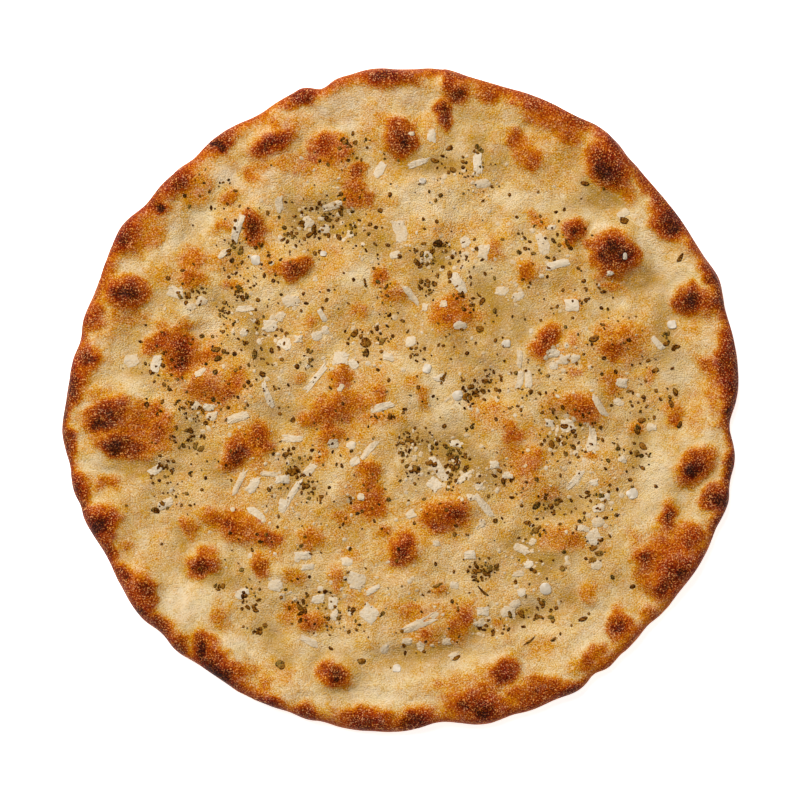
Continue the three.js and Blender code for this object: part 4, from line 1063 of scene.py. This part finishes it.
def baked_crust(settings):
    """Baked wheat crust: matt and floury where pale, granular with a faint oil sheen where browned, with
    painted highlights on single grains and painted shade where oil gathers on pale crust.
    """
    material, tree = new_material("baked_crust")
    place, browned, oil_and_shade = read_piece(tree, "browning", "oil_and_shade")
    # Toasting is mottled and grainy, and browned crust is the grainier
    mottle = add_node(tree, "TexNoise", {
        "Vector": place, "Scale": pattern_scale(CRUST_MOTTLE), "Detail": 3.0, "Roughness": 0.65})
    grain = add_node(tree, "TexNoise", {
        "Vector": place, "Scale": pattern_scale(CRUST_GRAIN), "Detail": 2.0, "Roughness": 0.7})
    graininess = add_node(tree, "MapRange", {
        "Value": browned, "From Max": 0.35, "To Min": 0.45, "To Max": 1.1})
    toasted = unsettle(tree, unsettle(tree, browned, grain, graininess), mottle, 0.34)
    crust = add_node(tree, "ValToRGB", {"Fac": toasted}, stops=(
        (0.0, settings.pale), (0.09, settings.cream), (0.19, settings.straw), (0.3, settings.golden),
        (0.44, settings.amber), (0.6, settings.brown), (0.76, settings.dark), (0.92, settings.char),
        (1.0, settings.soot)))
    # Oil and painted shade darken pale crust
    paleness = add_node(tree, "MapRange", {"Value": browned, "From Min": 0.37, "From Max": 0.14})
    oil_and_shade_share = add_node(tree, "Math", {0: oil_and_shade, 1: paleness}, operation="MULTIPLY", use_clamp=True)
    oiled_and_shaded = add_node(tree, "Mix", {"Factor": oil_and_shade_share, "A": crust, "B": settings.oiled_and_shaded}, data_type="RGBA")
    # Painted highlights: single grains glint, most on browned crust
    glints = add_node(tree, "TexNoise", {
        "Vector": place, "Scale": pattern_scale(CRUST_GLINT), "Detail": 1.0})
    lit_grain = add_node(tree, "MapRange", {"Value": glints, "From Min": 0.545, "From Max": 0.69})
    shine = add_node(tree, "MapRange", {"Value": browned, "From Min": 0.1, "From Max": 0.45, "To Min": 0.2})
    glinting = add_node(tree, "Math", {0: lit_grain, 1: shine}, operation="MULTIPLY")
    glint_colour = add_node(tree, "ValToRGB", {"Fac": browned}, stops=(
        (0.15, settings.glint), (0.45, settings.painted_ember_glint), (0.75, settings.painted_ember_glint), (1.0, settings.painted_ash_glint)))
    glinted = add_node(tree, "Mix", {"Factor": glinting, "A": oiled_and_shaded, "B": glint_colour}, data_type="RGBA")
    # Patches lean to olive or orange and are stronger or duller, and dry crust is redder
    tint = add_node(tree, "TexNoise", {"Vector": place, "Scale": pattern_scale(CRUST_TINT), "Detail": 2.0})
    parts = add_node(tree, "SeparateColor", {"Color": tint.outputs["Color"]})
    lean = add_node(tree, "MapRange", {
        "Value": parts.outputs["Red"], "From Min": 0.25, "From Max": 0.75,
        "To Min": 0.492, "To Max": 0.5025})
    dryness = add_node(tree, "MapRange", {
        "Value": oil_and_shade, "From Min": -0.3, "From Max": 0.05, "To Min": -0.006, "To Max": 0.0})
    hue = add_node(tree, "Math", {0: lean, 1: dryness}, operation="ADD")
    strength = add_node(tree, "MapRange", {
        "Value": parts.outputs["Green"], "From Min": 0.25, "From Max": 0.75,
        "To Min": 0.95, "To Max": 1.17})
    tinted = add_node(tree, "HueSaturation", {"Color": glinted, "Hue": hue, "Saturation": strength})
    coarse = add_node(tree, "Bump", {"Strength": 0.6, "Distance": 1.4 * MM, "Height": mottle})
    fine = add_node(tree, "Bump", {"Strength": 0.9, "Distance": 0.8 * MM, "Height": grain, "Normal": coarse})
    rough = add_node(tree, "MapRange", {
        "Value": browned, "From Min": 0.1, "From Max": 0.8, "To Min": 0.62, "To Max": 0.45})
    finish_material(tree, {
        "Base Color": tinted, "Roughness": rough, "Specular IOR Level": 0.05, "IOR": 1.45, "Normal": fine})
    return material


def grated_cheese(settings):
    """Grated hard cheese: dry, crumbly and slightly waxy, so soft-edged and barely shiny."""
    material, tree = new_material("grated_hard_cheese")
    place, tone = read_piece(tree, "tone")
    crumble = add_node(tree, "TexNoise", {
        "Vector": place, "Scale": pattern_scale(CHEESE_GRAIN), "Detail": 2.0, "Roughness": 0.7})
    lightness = unsettle(tree, tone, crumble, 2.2)
    colour = add_node(
        tree, "Mix", {"Factor": lightness, "A": settings.deep, "B": settings.light}, data_type="RGBA")
    bump = add_node(tree, "Bump", {"Strength": 0.8, "Distance": 0.7 * MM, "Height": crumble})
    finish_material(tree, {
        "Base Color": colour, "Roughness": 0.55, "Specular IOR Level": 0.2, "IOR": 1.46, "Normal": bump})
    return material


def dried_herb(settings):
    """Dried oregano: brittle crumpled leaf, near black in its folds and dusty tan on its ridges; both follow
    its crinkle, partly as painted shade and painted highlight.
    """
    material, tree = new_material("dried_oregano")
    place, tone = read_piece(tree, "tone")
    crinkle = add_node(tree, "TexNoise", {
        "Vector": place, "Scale": pattern_scale(HERB_CRINKLE), "Detail": 2.0, "Roughness": 0.6})
    # Darker in the crinkle's folds and lighter on its ridges: partly the leaf's own colours, partly painted
    # shade and painted highlight
    dried = add_node(tree, "ValToRGB", {"Fac": unsettle(tree, tone, crinkle, 3.0)}, stops=(
        (0.1, settings.edge), (0.5, settings.blade), (1.0, settings.dusty_tan_and_highlight)))
    # Here and there whole leaves have kept some green
    fresh = add_node(tree, "TexNoise", {"Vector": place, "Scale": pattern_scale(HERB_PATCH)})
    freshness = add_node(tree, "MapRange", {"Value": fresh, "From Min": 0.5, "From Max": 0.7})
    greened = add_node(
        tree, "Mix", {"Factor": freshness, "A": dried, "B": settings.olive},
        data_type="RGBA", blend_type="COLOR")
    bump = add_node(tree, "Bump", {"Strength": 0.6, "Distance": 0.3 * MM, "Height": crinkle})
    finish_material(tree, {
        "Base Color": greened, "Roughness": 0.5, "Specular IOR Level": 0.05, "IOR": 1.45, "Normal": bump})
    return material


def coarse_salt(settings):
    """Coarse sea salt: flat crystal, clearest in its middle and white along its broken edges."""
    material, tree = new_material("coarse_sea_salt")
    place, tone = read_piece(tree, "tone")
    cloudy = add_node(tree, "TexNoise", {"Vector": place, "Scale": pattern_scale(SALT_CLOUD), "Detail": 2.0})
    whiteness = unsettle(tree, tone, cloudy, 0.8)
    colour = add_node(
        tree, "Mix", {"Factor": whiteness, "A": settings.clear, "B": settings.crystal}, data_type="RGBA")
    bump = add_node(tree, "Bump", {"Strength": 0.3, "Distance": 0.3 * MM, "Height": cloudy})
    finish_material(tree, {"Base Color": colour, "Roughness": 0.5, "IOR": 1.54, "Normal": bump})
    return material


def plain_floor(settings):
    """Matt acrylic board faintly lit from below: even and pale, so next to no shade shows on it."""
    material, tree = new_material("pale_matt_acrylic")
    finish_material(tree, {
        "Base Color": settings.floor, "Roughness": 0.9, "Specular IOR Level": 0.1,
        "Emission Color": settings.floor, "Emission Strength": 0.8})
    return material


def hand_over(piece, material):
    """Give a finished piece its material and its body."""
    if not piece.data.polygons:
        raise RuntimeError("the piece " + piece.name + " has no faces")
    piece.data.materials.append(material)
    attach(piece, "root")


class FOCACCIA_OT_bread(bpy.types.Operator):
    """Bake the disc of dough with its rim, blisters and dimples"""
    bl_idname = "focaccia.bread"
    bl_label = "Bake the bread"

    def execute(self, context):
        settings = context.scene.focaccia_bread
        bread = shape_bread(settings)
        hand_over(bread, baked_crust(settings))
        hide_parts("focaccia")
        return {"FINISHED"}


class FOCACCIA_OT_cheese(bpy.types.Operator):
    """Strew shreds, flakes and crumbs of hard cheese"""
    bl_idname = "focaccia.cheese"
    bl_label = "Strew the cheese"

    def execute(self, context):
        draw = np.random.RandomState(CHEESE_SEED)
        pile = Pile()
        for row in CHEESE_SHREDS:
            tone = draw.uniform(*SHRED_TONES)
            pile.add_chip(row, SHRED, tone, draw, draw.uniform(-SHRED_BEND, SHRED_BEND))
        for row in CHEESE_FLAKES:
            pile.add_chip(row, FLAKE, draw.uniform(*FLAKE_TONES), draw)
        for drift in CRUMB_DRIFTS:
            # Crumbs on the browned spots have melted away
            places = np.array(drift_places(drift, drift[5], draw))
            pile.strew(CRUMBS, places[browning(*places.T) < CRUMB_MELTS], draw)
        cheese = pile.lay_on_bread("cheese", context.scene.focaccia_bread)
        hand_over(cheese, grated_cheese(context.scene.focaccia_cheese))
        return {"FINISHED"}


class FOCACCIA_OT_herb(bpy.types.Operator):
    """Scatter leaves and specks of dried herb in their drifts"""
    bl_idname = "focaccia.herb"
    bl_label = "Scatter the herb"

    def execute(self, context):
        draw = np.random.RandomState(HERB_SEED)
        pile = Pile()
        for row in large_leaves() + list(LONE_LEAVES):
            pile.add_chip(row, LEAF, draw.uniform(*LEAF_TONES), draw, LEAF_BEND)
        pile.add_chip(SEED, LEAF, SEED_TONE, draw)
        for drift in HERB_DRIFTS + SPECK_DRIFTS:
            pile.strew(SPECKS, drift_places(drift, drift[-1], draw), draw)
        herb = pile.lay_on_bread("herb", context.scene.focaccia_bread)
        hand_over(herb, dried_herb(context.scene.focaccia_herb))
        return {"FINISHED"}


class FOCACCIA_OT_salt(bpy.types.Operator):
    """Drop the coarse salt crystals"""
    bl_idname = "focaccia.salt"
    bl_label = "Drop the salt"

    def execute(self, context):
        draw = np.random.RandomState(SALT_SEED)
        pile = Pile()
        for row in SALT_CRYSTALS:
            pile.add_chip(row, CRYSTAL, SALT_TONE, draw)
        salt = pile.lay_on_bread("salt", context.scene.focaccia_bread)
        hand_over(salt, coarse_salt(context.scene.focaccia_salt))
        return {"FINISHED"}


class FOCACCIA_OT_stage(bpy.types.Operator):
    """Set the plain floor, the soft studio light and the camera looking straight down"""
    bl_idname = "focaccia.stage"
    bl_label = "Set the stage"

    def execute(self, context):
        settings = context.scene.focaccia_stage
        scene = context.scene
        bpy.ops.object.select_all(action="DESELECT")
        bpy.ops.mesh.primitive_plane_add(size=FLOOR_WIDTH * MM, location=(0.0, 0.0, -FLOOR_GAP * MM))
        floor = context.object
        floor.name = "floor"
        floor.data.materials.append(plain_floor(settings))

        world = bpy.data.worlds.new("studio")
        world.use_nodes = True
        sky = world.node_tree.nodes["Background"].inputs
        sky["Color"].default_value = (1.0, 1.0, 1.0, 1.0)
        sky["Strength"].default_value = SKY_STRENGTH
        scene.world = world

        bpy.ops.object.light_add(type="AREA", location=[way * MM for way in KEY_PLACE])
        key = context.object
        key.name = "key_light"
        key.data.shape = "DISK"
        key.data.size = KEY_WIDTH * MM
        key.data.energy = KEY_WATTS
        key.rotation_euler = (-key.location).to_track_quat("-Z", "Y").to_euler()

        height = RIM_HEIGHT * MM + settings.frame_width * LENS / SENSOR
        bpy.ops.object.camera_add(location=(0.0, 0.0, height), rotation=(0.0, 0.0, 0.0))
        camera = context.object
        camera.name = "camera"
        camera.data.lens = LENS
        camera.data.sensor_width = SENSOR
        scene.camera = camera
        scene.view_settings.view_transform = "Standard"
        return {"FINISHED"}


class FOCACCIA_PT_panel(bpy.types.Panel):
    bl_idname = "FOCACCIA_PT_panel"
    bl_label = "Focaccia"
    bl_space_type = "VIEW_3D"
    bl_region_type = "UI"
    bl_category = "Focaccia"

    def draw(self, context):
        for name, operator, settings_type in STEPS:
            box = self.layout.box()
            settings = getattr(context.scene, "focaccia_" + name)
            for key in settings_type.__annotations__:
                box.prop(settings, key)
            box.operator(operator.bl_idname)


STEPS = (
    ("bread", FOCACCIA_OT_bread, BreadSettings),
    ("cheese", FOCACCIA_OT_cheese, CheeseSettings),
    ("herb", FOCACCIA_OT_herb, HerbSettings),
    ("salt", FOCACCIA_OT_salt, SaltSettings),
    ("stage", FOCACCIA_OT_stage, StageSettings),
)


def register():
    for name, operator, settings_type in STEPS:
        bpy.utils.register_class(settings_type)
        bpy.utils.register_class(operator)
        setattr(bpy.types.Scene, "focaccia_" + name, bpy.props.PointerProperty(type=settings_type))
    bpy.utils.register_class(FOCACCIA_PT_panel)


def unregister():
    bpy.utils.unregister_class(FOCACCIA_PT_panel)
    for name, operator, settings_type in reversed(STEPS):
        delattr(bpy.types.Scene, "focaccia_" + name)
        bpy.utils.unregister_class(operator)
        bpy.utils.unregister_class(settings_type)


def main():
    """Make every piece and the stage."""
    register()
    bpy.ops.focaccia.bread()
    bpy.ops.focaccia.cheese()
    bpy.ops.focaccia.herb()
    bpy.ops.focaccia.salt()
    bpy.ops.focaccia.stage()


if __name__ == "__main__":
    main()
